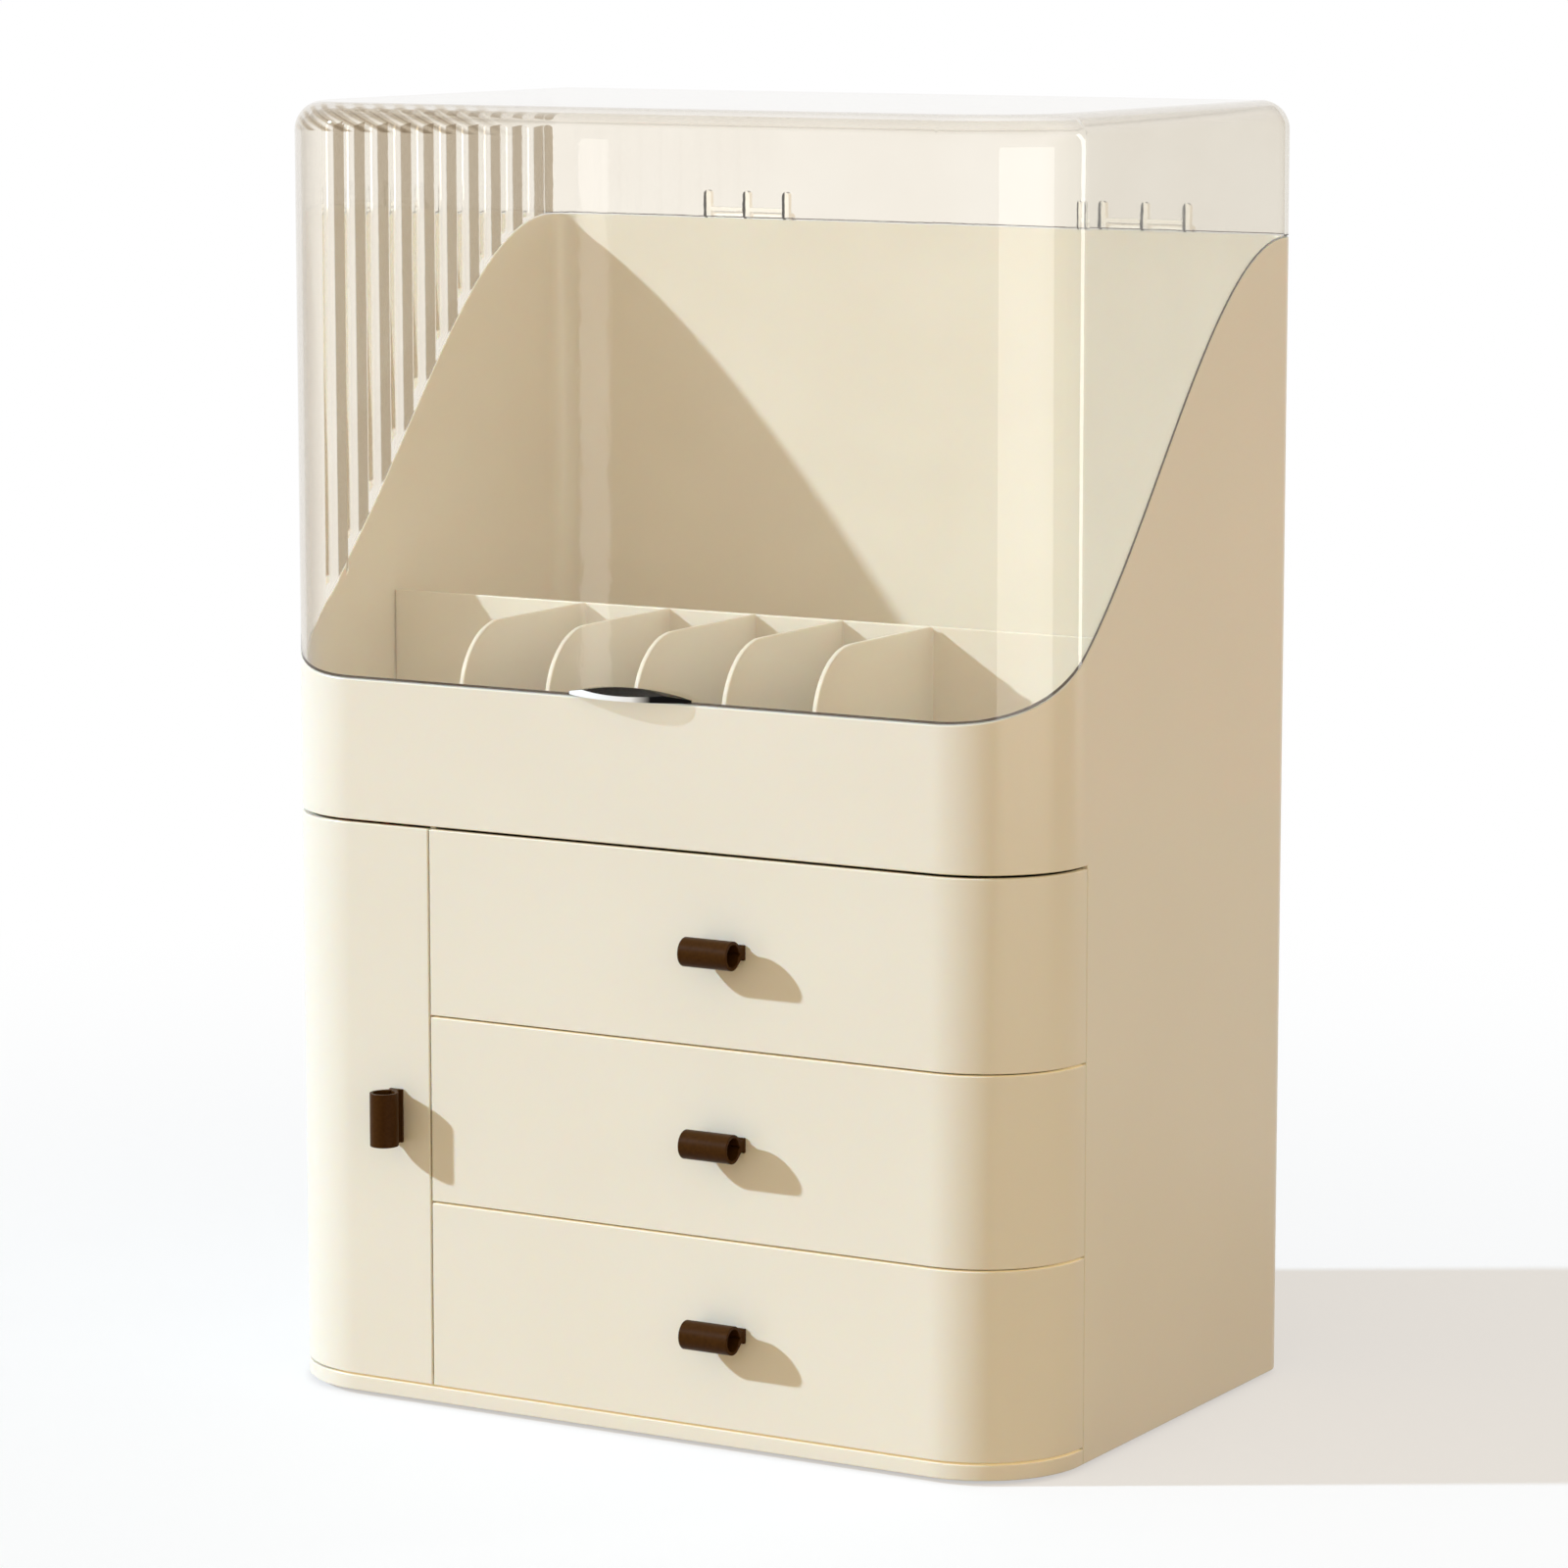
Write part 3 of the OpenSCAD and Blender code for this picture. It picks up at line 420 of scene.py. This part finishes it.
# %% [markdown]
# The seams between the drawers are narrow, and yet they look tan and not black, because
# ivory plastic lets light soak through its lips. That light is painted: the faces that lie
# flat inside a seam, in the outer 3.5 mm of the front, get a painted warm glow, an emission
# of their own.

# %% Light in the seams
fronts_top = 221.5 * MM
corner_x, corner_y = 124.5 * MM, -62.0 * MM
corner_radius, lip = 40.5 * MM, 3.5 * MM
t = cream.node_tree
shader = next(n for n in t.nodes if n.type == "BSDF_PRINCIPLED")
place = add(t, "ShaderNodeTexCoord", "metres", (-900, 700))
where = add(t, "ShaderNodeSeparateXYZ", "where", (-700, 700))
turn = add(t, "ShaderNodeNewGeometry", "surface", (-900, 500))
facing = add(t, "ShaderNodeSeparateXYZ", "facing", (-700, 500))
join(t, place.outputs["Object"], where.inputs[0])
join(t, turn.outputs["Normal"], facing.inputs[0])
flatness = maths(t, "lies flat", "ABSOLUTE", (-500, 500), facing.outputs["Z"])
lip_face = maths(t, "top or bottom of a front", "GREATER_THAN", (-350, 500), flatness, 0.9)
in_fronts = maths(t, "in the drawer fronts", "LESS_THAN", (-500, 700), where.outputs["Z"], fronts_top)
turn_x = maths(t, "past the corner", "SUBTRACT", (-500, 900), where.outputs["X"], corner_x)
turn_y = maths(t, "before the corner", "SUBTRACT", (-500, 1050), where.outputs["Y"], corner_y)
out_x = maths(t, "outwards x", "MAXIMUM", (-350, 900), turn_x, 0.0)
out_y = maths(t, "outwards y", "MINIMUM", (-350, 1050), turn_y, 0.0)
outwards = add(t, "ShaderNodeCombineXYZ", "outwards", (-200, 950))
join(t, out_x, outwards.inputs["X"])
join(t, out_y, outwards.inputs["Y"])
skin = add(t, "ShaderNodeVectorMath", "from the corner's middle", (-50, 950), operation="LENGTH")
join(t, outwards.outputs[0], skin.inputs[0])
near_skin = maths(t, "in the outer skin", "GREATER_THAN", (100, 950),
                  skin.outputs["Value"], corner_radius - lip)
lying = maths(t, "flat and low", "MULTIPLY", (-200, 600), lip_face, in_fronts)
seam = maths(t, "seam", "MULTIPLY", (-50, 700), lying, near_skin)
# painted light: the seam faces glow warm by emission, though they are no lamp
painted_seam_glow = mixed(t, "light in the seam", (0, 600), seam, (0, 0, 0, 1), (0.90, 0.68, 0.36, 1))
join(t, painted_seam_glow, shader.inputs["Emission Color"])
shader.inputs["Emission Strength"].default_value = 0.22
print("seam light", round(shader.inputs["Emission Strength"].default_value, 2))

# %% [markdown]
# ## Brown handles
# Each handle is a short rolled tube on a waisted neck, lacquered dark brown. The lacquer is
# thin and satin over a slightly streaked base, so it mirrors very little: a strong sheen
# would add grey to so dark a brown. The streaks move both its tone and its fine relief.

# %% Handle lacquer
brown, t, shader, _ = new_material("brown_handle")
line = use_group(t, streaks, (-600, 0), Across=(700.0, 700.0, 700.0), Depth=0.6)
surface = use_group(t, moulded, (-600, -300), Grain_Size=0.0006, Touch_Size=0.008)
tones = use_group(t, two_tones, (-300, 200), Low=(0.041, 0.0145, 0.0015, 1), High=(0.057, 0.021, 0.003, 1))
sheen = use_group(t, swing, (-300, -50), Middle=0.36, Swing=0.12)
join(t, line.outputs["Streak"], tones.inputs["Value"])
join(t, surface.outputs["Touch"], sheen.inputs["Value"])
join(t, tones.outputs["Color"], shader.inputs["Base Color"])
join(t, sheen.outputs["Result"], shader.inputs["Roughness"])
bump(t, line.outputs["Height"], 0.08, 0.0003, shader)
shader.inputs["Specular IOR Level"].default_value = 0.05
print("made", brown.name)

# %% [markdown]
# ## Steel
# Screws, pins and the door's catch are small, plain and bright. Turned steel shows fine
# rings and a little dullness, so the streaks drive both its tone and its roughness.

# %% Steel
steel, t, shader, _ = new_material("steel")
line = use_group(t, streaks, (-600, 0), Across=(1500.0, 1500.0, 250.0), Depth=0.7)
tones = use_group(t, two_tones, (-300, 200), Low=(0.52, 0.52, 0.53, 1), High=(0.66, 0.66, 0.67, 1))
sheen = use_group(t, swing, (-300, -50), Middle=0.30, Swing=0.18)
join(t, line.outputs["Streak"], tones.inputs["Value"])
join(t, line.outputs["Streak"], sheen.inputs["Value"])
join(t, tones.outputs["Color"], shader.inputs["Base Color"])
join(t, sheen.outputs["Result"], shader.inputs["Roughness"])
bump(t, line.outputs["Height"], 0.12, 0.0002, shader)
shader.inputs["Metallic"].default_value = 1.0
print("made", steel.name)

# %% [markdown]
# ## Clear plastic
# The hood is about two millimetres of clear, faintly warm acrylic. A renderer needs both
# its faces, which the CAD solid has, and the real index of refraction: then flutes, rims
# and rounded edges draw themselves, because they are where light is bent the most, and
# further down some of their light and shade is painted into the colour as well. Light
# that only passes through on its way to something else is let straight through and
# slightly dimmed, more so at grazing angles, as a real clear wall does.


# %% Clear plastics
def clear_plastic(name, face_on, slanting, shade, ripple):
    """A clear solid that bends what is seen through it and casts only a faint shadow."""
    m, tree, shader, out = new_material(name)
    surface = use_group(tree, moulded, (-900, 0), Drift_Size=0.035, Grain_Size=0.012, Touch_Size=0.03)
    tones = use_group(tree, two_tones, (-700, 200), Low=face_on[0], High=face_on[1])
    sheen = use_group(tree, swing, (-600, -50), Middle=0.02, Swing=0.03)
    join(tree, surface.outputs["Drift"], tones.inputs["Value"])
    join(tree, surface.outputs["Touch"], sheen.inputs["Value"])
    join(tree, sheen.outputs["Result"], shader.inputs["Roughness"])
    bump(tree, surface.outputs["Grain"], ripple, 0.0006, shader)
    edge = add(tree, "ShaderNodeLayerWeight", "grazing", (-900, 400), Blend=0.5)
    longer = eased(tree, "longer way through", (-700, 400), edge.outputs["Facing"], 0.3, 0.8)
    body = mixed(tree, "deeper when slanting", (-450, 300), longer, tones.outputs["Color"], slanting)
    join(tree, body, shader.inputs["Base Color"])
    shader.inputs["Transmission Weight"].default_value = 1.0
    shader.inputs["IOR"].default_value = 1.49
    rays = add(tree, "ShaderNodeLightPath", "ray kind", (0, 500)).outputs
    faint = eased(tree, "faint edge shadow", (-150, 250), edge.outputs["Facing"], 0.55, 1.0)
    dim = mixed(tree, "dimmer at grazing", (50, 300), faint, (0.985, 0.98, 0.965, 1), shade)
    through = add(tree, "ShaderNodeBsdfTransparent", "let light by", (300, 300))
    join(tree, dim, through.inputs["Color"])
    passing = maths(tree, "only passing", "MAXIMUM", (250, 500),
                    rays["Is Shadow Ray"], rays["Is Diffuse Ray"])
    tired = maths(tree, "bent often enough", "GREATER_THAN", (250, 650), rays["Ray Depth"], 5.5)
    either = maths(tree, "let it go", "MAXIMUM", (400, 550), passing, tired)
    choose = add(tree, "ShaderNodeMixShader", "seen or passing", (550, 150))
    join(tree, either, choose.inputs[0])
    join(tree, shader.outputs["BSDF"], choose.inputs[1])
    join(tree, through.outputs[0], choose.inputs[2])
    join(tree, choose.outputs[0], out.inputs["Surface"])
    return m


hood_clear = clear_plastic("clear_hood", ((0.945, 0.912, 0.855, 1), (0.965, 0.937, 0.885, 1)),
                           (0.54, 0.49, 0.42, 1), (0.80, 0.78, 0.74, 1), 0.015)
print("made", hood_clear.name)

# %% [markdown]
# The hood is one moulding, yet some places on it look different from the plain sheet, and
# each has its own reason. Where such a place begins is told by its position in metres and
# by the way the surface faces. Both are measured in the hood's own axes, so that the marks
# stay put when the hood tips back.

# %% Places on the hood
t = hood_clear.node_tree
nodes_by = {n.label: n for n in t.nodes}
place = add(t, "ShaderNodeTexCoord", "metres", (-1500, 900))
at = add(t, "ShaderNodeSeparateXYZ", "where", (-1300, 900))
turn = add(t, "ShaderNodeNewGeometry", "surface", (-1700, 1150))
own = add(t, "ShaderNodeVectorTransform", "in the hood's own axes", (-1500, 1150),
          vector_type="NORMAL", convert_from="WORLD", convert_to="OBJECT")
facing = add(t, "ShaderNodeSeparateXYZ", "facing", (-1300, 1150))
join(t, place.outputs["Object"], at.inputs[0])
join(t, turn.outputs["Normal"], own.inputs[0])
join(t, own.outputs[0], facing.inputs[0])
left_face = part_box("hood")[0].x + 1.3 * MM
hood_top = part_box("hood")[1].z
body_front, body_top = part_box("body_shell")[0].y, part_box("body_shell")[1].z
print("fluted face left of", round(left_face, 4), "and top at", round(hood_top, 4))

# %% [markdown]
# The flutes on the left side work as lenses: the half of each flute that faces backwards
# gathers the dim side of the room, so the side reads as even beige and white stripes. That
# dim image is painted shade: the backward half gets a painted beige colour, on top of the
# real bending of the clear sheet. The backward half is where the surface's X and Y,
# multiplied, go below zero. That holds for the outer and the inner side of the sheet alike.

# %% Stripes of the flutes
cross = maths(t, "turned backwards", "MULTIPLY", (-1100, 1150), facing.outputs["X"], facing.outputs["Y"])
backward = eased(t, "backward half", (-900, 1150), cross, -0.015, -0.045)
fluted = maths(t, "fluted face", "LESS_THAN", (-1100, 950), at.outputs["X"], left_face)
stripe = maths(t, "stripe", "MULTIPLY", (-700, 1100), backward, fluted)
print("stripes between slopes -0.015 and -0.045")

# %% [markdown]
# The thick rounded top edge bends the flutes' ends into slanting strokes, most of them near
# the left corner; here the strokes are painted, as a darker beige in the colour. A sine wave
# along X draws them, and adding a share of the height to X makes them lean. The right wall
# is seen at a slant and comes out a shade greyer: that is painted shade, a grey multiplied
# into its colour.

# %% Strokes in the top edge, and the right wall
pitch, lean = 9.0 * MM, 2.7
height = maths(t, "up the edge", "MULTIPLY", (-1100, 1400), at.outputs["Z"], lean)
along = maths(t, "along the edge", "ADD", (-950, 1400), at.outputs["X"], height)
turns = maths(t, "strokes", "MULTIPLY", (-800, 1400), along, 2 * math.pi / pitch)
wave = maths(t, "wave", "SINE", (-650, 1400), turns)
stroke = eased(t, "stroke", (-500, 1400), wave, -0.3, 0.5)
rounding = maths(t, "in the top edge", "GREATER_THAN", (-1100, 1550), at.outputs["Z"], hood_top - 10.5 * MM)
not_top = maths(t, "not the flat top", "LESS_THAN", (-950, 1550), at.outputs["Z"], hood_top - 0.3 * MM)
left_third = eased(t, "left third", (-800, 1700), at.outputs["X"], -42 * MM, -85 * MM)
in_front = maths(t, "front edge", "LESS_THAN", (-800, 1550), at.outputs["Y"], -88 * MM)
in_third = maths(t, "front left", "MULTIPLY", (-650, 1650), left_third, in_front)
in_edge = maths(t, "edge part", "MULTIPLY", (-650, 1550), rounding, in_third)
in_round = maths(t, "edge only", "MULTIPLY", (-500, 1550), in_edge, not_top)
painted_stroke_mask = maths(t, "edge stroke", "MULTIPLY", (-350, 1450), stroke, in_round)
sheet_tone = nodes_by["deeper when slanting"].outputs[2]
# painted shade: slanting darker strokes in the left part of the top edge
with_painted_strokes = mixed(t, "bent strokes", (-450, 550), painted_stroke_mask, sheet_tone, (0.50, 0.42, 0.31, 1))
sideways = maths(t, "faces sideways", "ABSOLUTE", (-1100, 300), facing.outputs["X"])
flat_side = eased(t, "flat side", (-950, 300), sideways, 0.80, 0.98)
on_right = maths(t, "right half", "GREATER_THAN", (-950, 150), at.outputs["X"], 100 * MM)
right_wall = maths(t, "right wall", "MULTIPLY", (-700, 250), flat_side, on_right)
# painted shade: the right wall's colour is multiplied by a grey
with_painted_grey_wall = mixed(t, "dimmer right wall", (-350, 300), right_wall, with_painted_strokes, (0.925, 0.92, 0.895, 1),
               blend_type="MULTIPLY")
# painted shade: the backward half of each flute is coloured a darker beige
with_painted_flute_shade = mixed(t, "beige stripes", (-250, 450), stripe, with_painted_grey_wall, (0.20, 0.135, 0.065, 1))
join(t, with_painted_flute_shade, nodes_by["clear_hood"].inputs["Base Color"])
print("a stroke every", round(pitch / MM, 1), "mm")

# %% [markdown]
# The cut edge along the rim sees the dark seam below it, and so does the foot of the back
# wall; that dark line is painted shade, a dark brown colour. The finger tab is thick, so its
# upper face mirrors and looks nearly black, while its front edge passes on the light that
# travels inside the sheet: both are painted, a painted dark reflection on the upper face and
# a painted highlight, near white, on the front edge. These places get a dense shader of
# their own, and most of the light still passes them, so they cast a thin shadow.

# %% Rim line and finger tab
level = maths(t, "lies flat", "ABSOLUTE", (-1100, 700), facing.outputs["Z"])
leans = maths(t, "leans enough", "GREATER_THAN", (-900, 700), level, 0.28)
below = maths(t, "below the top", "LESS_THAN", (-1100, 800), at.outputs["Z"], body_top + 1 * MM)
low_edge = maths(t, "low edge", "MULTIPLY", (-800, 750), leans, below)
unfluted = maths(t, "not under the flutes", "GREATER_THAN", (-1100, 850), at.outputs["X"], left_face + 2 * MM)
rim_front = maths(t, "rim edge", "MULTIPLY", (-700, 750), low_edge, unfluted)
foot = maths(t, "foot of the wall", "LESS_THAN", (-1100, 1000), at.outputs["Z"], body_top + 0.8 * MM)
behind = maths(t, "back wall", "GREATER_THAN", (-950, 1000), at.outputs["Y"], 100 * MM)
back_line = maths(t, "back line", "MULTIPLY", (-800, 1000), foot, behind)
# painted shade: the rim's cut edge and the foot of the back wall are drawn dark
painted_rim_line_mask = maths(t, "rim line", "MAXIMUM", (-650, 850), rim_front, back_line)
tab = maths(t, "finger tab", "LESS_THAN", (-1100, 600), at.outputs["Y"], body_front - 0.6 * MM)
top_face = eased(t, "upper face of the tab", (-900, 500), facing.outputs["Z"], 0.25, 0.75, smooth=False)
right_turned = eased(t, "edge turned right", (-900, 350), facing.outputs["X"], 0.12, 0.28, smooth=False)
dark = maths(t, "dark part", "MAXIMUM", (-700, 450), top_face, right_turned)
# painted reflection and highlight: near black on the tab's upper face, near white on its edge
painted_tab_light_and_dark = mixed(t, "edge gathers light", (-450, 900), dark, (0.88, 0.88, 0.88, 1), (0.006, 0.006, 0.007, 1))
# painted shade on the rim line, dark brown
painted_dense_tone = mixed(t, "seam or tab", (-250, 900), tab, (0.085, 0.055, 0.032, 1), painted_tab_light_and_dark)
solid = add(t, "ShaderNodeBsdfPrincipled", "dense places", (0, 900), Roughness=0.12)
solid.inputs["Specular IOR Level"].default_value = 0.03
join(t, painted_dense_tone, solid.inputs["Base Color"])
dense = maths(t, "seam or tab here", "MAXIMUM", (-450, 700), tab, painted_rim_line_mask)
ray = add(t, "ShaderNodeLightPath", "shadow rays", (-450, 1250))
part = maths(t, "light that passes", "MULTIPLY", (-400, 1250), ray.outputs["Is Shadow Ray"], 0.86)
lit = maths(t, "thin shadow", "SUBTRACT", (-250, 1250), 1.0, part)
amount = maths(t, "where it shows", "MULTIPLY", (-50, 700), dense, lit)
with_dense = add(t, "ShaderNodeMixShader", "sheet or dense", (850, 400))
join(t, amount, with_dense.inputs[0])
join(t, nodes_by["seen or passing"].outputs[0], with_dense.inputs[1])
join(t, solid.outputs[0], with_dense.inputs[2])
join(t, with_dense.outputs[0], nodes_by["out"].inputs["Surface"])
print("nodes in the hood's material:", len(t.nodes))

# %% [markdown]
# The hinge pieces are clear too, but they are small and stand close together, so what one
# sees is bright bars with a dark line down one side. A milky core with a painted glow, an
# emission in place of the light passed on from behind, gives the same reading. The line is
# painted shade, drawn by where a point lies across the three fingers, and a painted dark
# outline darkens the faces seen at a slant.

# %% Hinge plastic
hinge_clear, t, shader, _ = new_material("clear_hinge")
surface = use_group(t, moulded, (-900, 0), Grain_Size=0.004)
tones = use_group(t, two_tones, (-600, 100), Low=(0.86, 0.85, 0.82, 1), High=(0.93, 0.92, 0.90, 1))
join(t, surface.outputs["Drift"], tones.inputs["Value"])
rim_of = add(t, "ShaderNodeLayerWeight", "outline", (-900, 350), Blend=0.5)
# painted shade: a dark outline where the surface is seen at a slant
outline = eased(t, "dark outline", (-600, 350), rim_of.outputs["Facing"], 0.55, 0.75)
finger_pitch = 18 * MM
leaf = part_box("hinge_leaf_left")
across = add(t, "ShaderNodeTexCoord", "across the leaf", (-900, 600))
sides = add(t, "ShaderNodeSeparateXYZ", "sides", (-700, 600))
join(t, across.outputs["Generated"], sides.inputs[0])
in_leaf = (leaf[1].x - leaf[0].x) / finger_pitch
steps = maths(t, "fingers", "MULTIPLY", (-500, 600), sides.outputs["X"], in_leaf)
in_finger = maths(t, "place in a finger", "FRACT", (-350, 600), steps)
# painted shade: a dark line down the left side of each finger
painted_dark_line = maths(t, "left side of a finger", "LESS_THAN", (-200, 600), in_finger, 0.07)
painted_line_or_outline = maths(t, "line or outline", "MAXIMUM", (-50, 500), painted_dark_line, outline)
hinge_painted_tone = mixed(t, "core to outline", (100, 250), painted_line_or_outline, tones.outputs["Color"], (0.035, 0.030, 0.026, 1))
join(t, hinge_painted_tone, shader.inputs["Base Color"])
# painted light: the hinge's colour also glows as emission, though it is no lamp
join(t, hinge_painted_tone, shader.inputs["Emission Color"])
shader.inputs["Emission Strength"].default_value = 0.30
bump(t, surface.outputs["Grain"], 0.03, 0.0003, shader)
shader.inputs["Roughness"].default_value = 0.15
print("made", hinge_clear.name)

# %% [markdown]
# ## Dressing the parts
# Every CAD part already carries the name of the slot it belongs to, so each one gets the
# finish of the same name.

# %% Put the finishes on
finish = {
    "cream_plastic": cream,
    "drawer_bin_plastic": bin_cream,
    "clear_hood": hood_clear,
    "clear_hinge": hinge_clear,
    "brown_handle": brown,
    "steel": steel,
    "foot_rubber": rubber,
}
slot_of = {row["node"]: row["material_slot"] for row in frame["record"]["subparts"]}
for name, ob in nodes.items():
    for place_in in range(len(ob.data.materials)):
        ob.data.materials[place_in] = finish[slot_of[name]]
print({k: sum(1 for n in slot_of.values() if n == k) for k in finish})

# %% [markdown]
# ## Softened edges
# No moulded edge is truly sharp: the tool has a small radius everywhere, and that radius is
# what catches the light along a seam or a rim. The rounding is done with modifiers, so the
# CAD mesh underneath stays as it is. First a small geometry-node tree joins the CAD faces
# and picks the edges to round: real corners, but not the rims of the screw holes that
# another part covers. Then a Bevel rounds what was picked, and Weighted Normal shades the
# flat faces flat.

# %% Edge picker
picker = bpy.data.node_groups.new("Pick edges", "GeometryNodeTree")
picker.is_modifier = True
face_in = picker.interface.new_socket(name="Geometry", in_out="INPUT", socket_type="NodeSocketGeometry")
angle_in = picker.interface.new_socket(name="Angle", in_out="INPUT", socket_type=FLOAT)
centre_in = picker.interface.new_socket(name="Clear Centre", in_out="INPUT", socket_type=VECTOR)
radius_in = picker.interface.new_socket(name="Clear Radius", in_out="INPUT", socket_type=FLOAT)
picker.interface.new_socket(name="Geometry", in_out="OUTPUT", socket_type="NodeSocketGeometry")
start = picker.nodes.new("NodeGroupInput")
end = picker.nodes.new("NodeGroupOutput")
merge = add(picker, "GeometryNodeMergeByDistance", "join faces", (0, 0))
merge.inputs["Distance"].default_value = 0.01 * MM
forget = add(picker, "GeometryNodeRemoveAttribute", "drop stored normals", (150, 0))
forget.inputs["Name"].default_value = "custom_normal"
bend = add(picker, "GeometryNodeInputMeshEdgeAngle", "bend", (0, -200))
where = add(picker, "GeometryNodeInputPosition", "where", (0, -350))
angles, limit = bend.outputs["Unsigned Angle"], start.outputs["Angle"]
sharp = maths(picker, "real corner", "GREATER_THAN", (200, -200), angles, limit)
away = add(picker, "ShaderNodeVectorMath", "distance", (200, -350), operation="DISTANCE")
join(picker, where.outputs["Position"], away.inputs[0])
join(picker, start.outputs["Clear Centre"], away.inputs[1])
outside = maths(picker, "away from holes", "GREATER_THAN", (400, -350),
                away.outputs["Value"], start.outputs["Clear Radius"])
both = maths(picker, "both", "MULTIPLY", (600, -250), sharp, outside)
store = add(picker, "GeometryNodeStoreNamedAttribute", "mark", (700, 0), data_type="FLOAT", domain="EDGE")
store.inputs["Name"].default_value = "bevel_weight_edge"
all_smooth = add(picker, "GeometryNodeSetShadeSmooth", "smooth faces", (850, 0), domain="FACE")
gentle = maths(picker, "gentle bend", "LESS_THAN", (850, -200), angles, limit)
creases = add(picker, "GeometryNodeSetShadeSmooth", "sharp corners", (1000, 0), domain="EDGE")
join(picker, start.outputs["Geometry"], merge.inputs["Geometry"])
join(picker, merge.outputs["Geometry"], forget.inputs["Geometry"])
join(picker, forget.outputs["Geometry"], store.inputs["Geometry"])
join(picker, both, store.inputs["Value"])
join(picker, store.outputs["Geometry"], all_smooth.inputs["Geometry"])
join(picker, all_smooth.outputs["Geometry"], creases.inputs["Geometry"])
join(picker, gentle, creases.inputs["Shade Smooth"])
join(picker, creases.outputs["Geometry"], end.inputs["Geometry"])
print("edge picker:", len(picker.nodes), "nodes")

# %% [markdown]
# The picker now goes onto the parts that are seen close up, each with a radius that fits
# it. A drawer's front and the door keep a clear circle round their handle's foot, and the
# body keeps one round its hinge screws: a rounded rim under a covering part would only
# show as a thin dark sliver.


# %% Soft edges
def soften(name, width, steps=3, angle=35.0, clear_centre=(0, 0, 0), clear_radius=0.0):
    """Rounds a CAD part's real corners with modifiers; its own mesh stays as it is."""
    ob = nodes[name]
    pick = ob.modifiers.new("pick edges", "NODES")
    pick.node_group = picker
    pick[angle_in.identifier] = math.radians(angle)
    pick[centre_in.identifier] = clear_centre
    pick[radius_in.identifier] = clear_radius
    edge = ob.modifiers.new("soft edge", "BEVEL")
    edge.width = width
    edge.segments = steps
    edge.limit_method = "WEIGHT"
    edge.use_clamp_overlap = False
    shade = ob.modifiers.new("even shading", "WEIGHTED_NORMAL")
    shade.keep_sharp = True
    shade.weight = 100


def middle_of(name):
    """The middle of a CAD part's box."""
    low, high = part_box(name)
    return (low + high) / 2


for level in ("lower", "middle", "upper"):
    grip = middle_of("drawer_handle_" + level)
    face_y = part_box("drawer_front_" + level)[0].y
    soften("drawer_front_" + level, 0.35 * MM, clear_centre=(grip.x, face_y, grip.z), clear_radius=0.012)
    soften("drawer_handle_" + level, 0.2 * MM, steps=2)
    soften("drawer_bin_" + level, 0.4 * MM)
grip = middle_of("door_handle")
soften("door", 0.35 * MM, clear_centre=(grip.x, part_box("door")[0].y, grip.z), clear_radius=0.012)
soften("door_handle", 0.2 * MM, steps=2)
screws_from, screws_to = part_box("hinge_screws")
soften("body_shell", 0.4 * MM, clear_centre=middle_of("hinge_screws"),
       clear_radius=(screws_to - screws_from).length / 2 + 0.006)
soften("lipstick_rack", 0.4 * MM)
soften("base_plate", 0.3 * MM)
print("softened", sum(1 for o in nodes.values() if o.modifiers))

# %% [markdown]
# ## Done
# The view layer is brought up to date once more, so that the finishes and the soft edges
# are in place.

# %% Finish
bpy.context.view_layer.update()
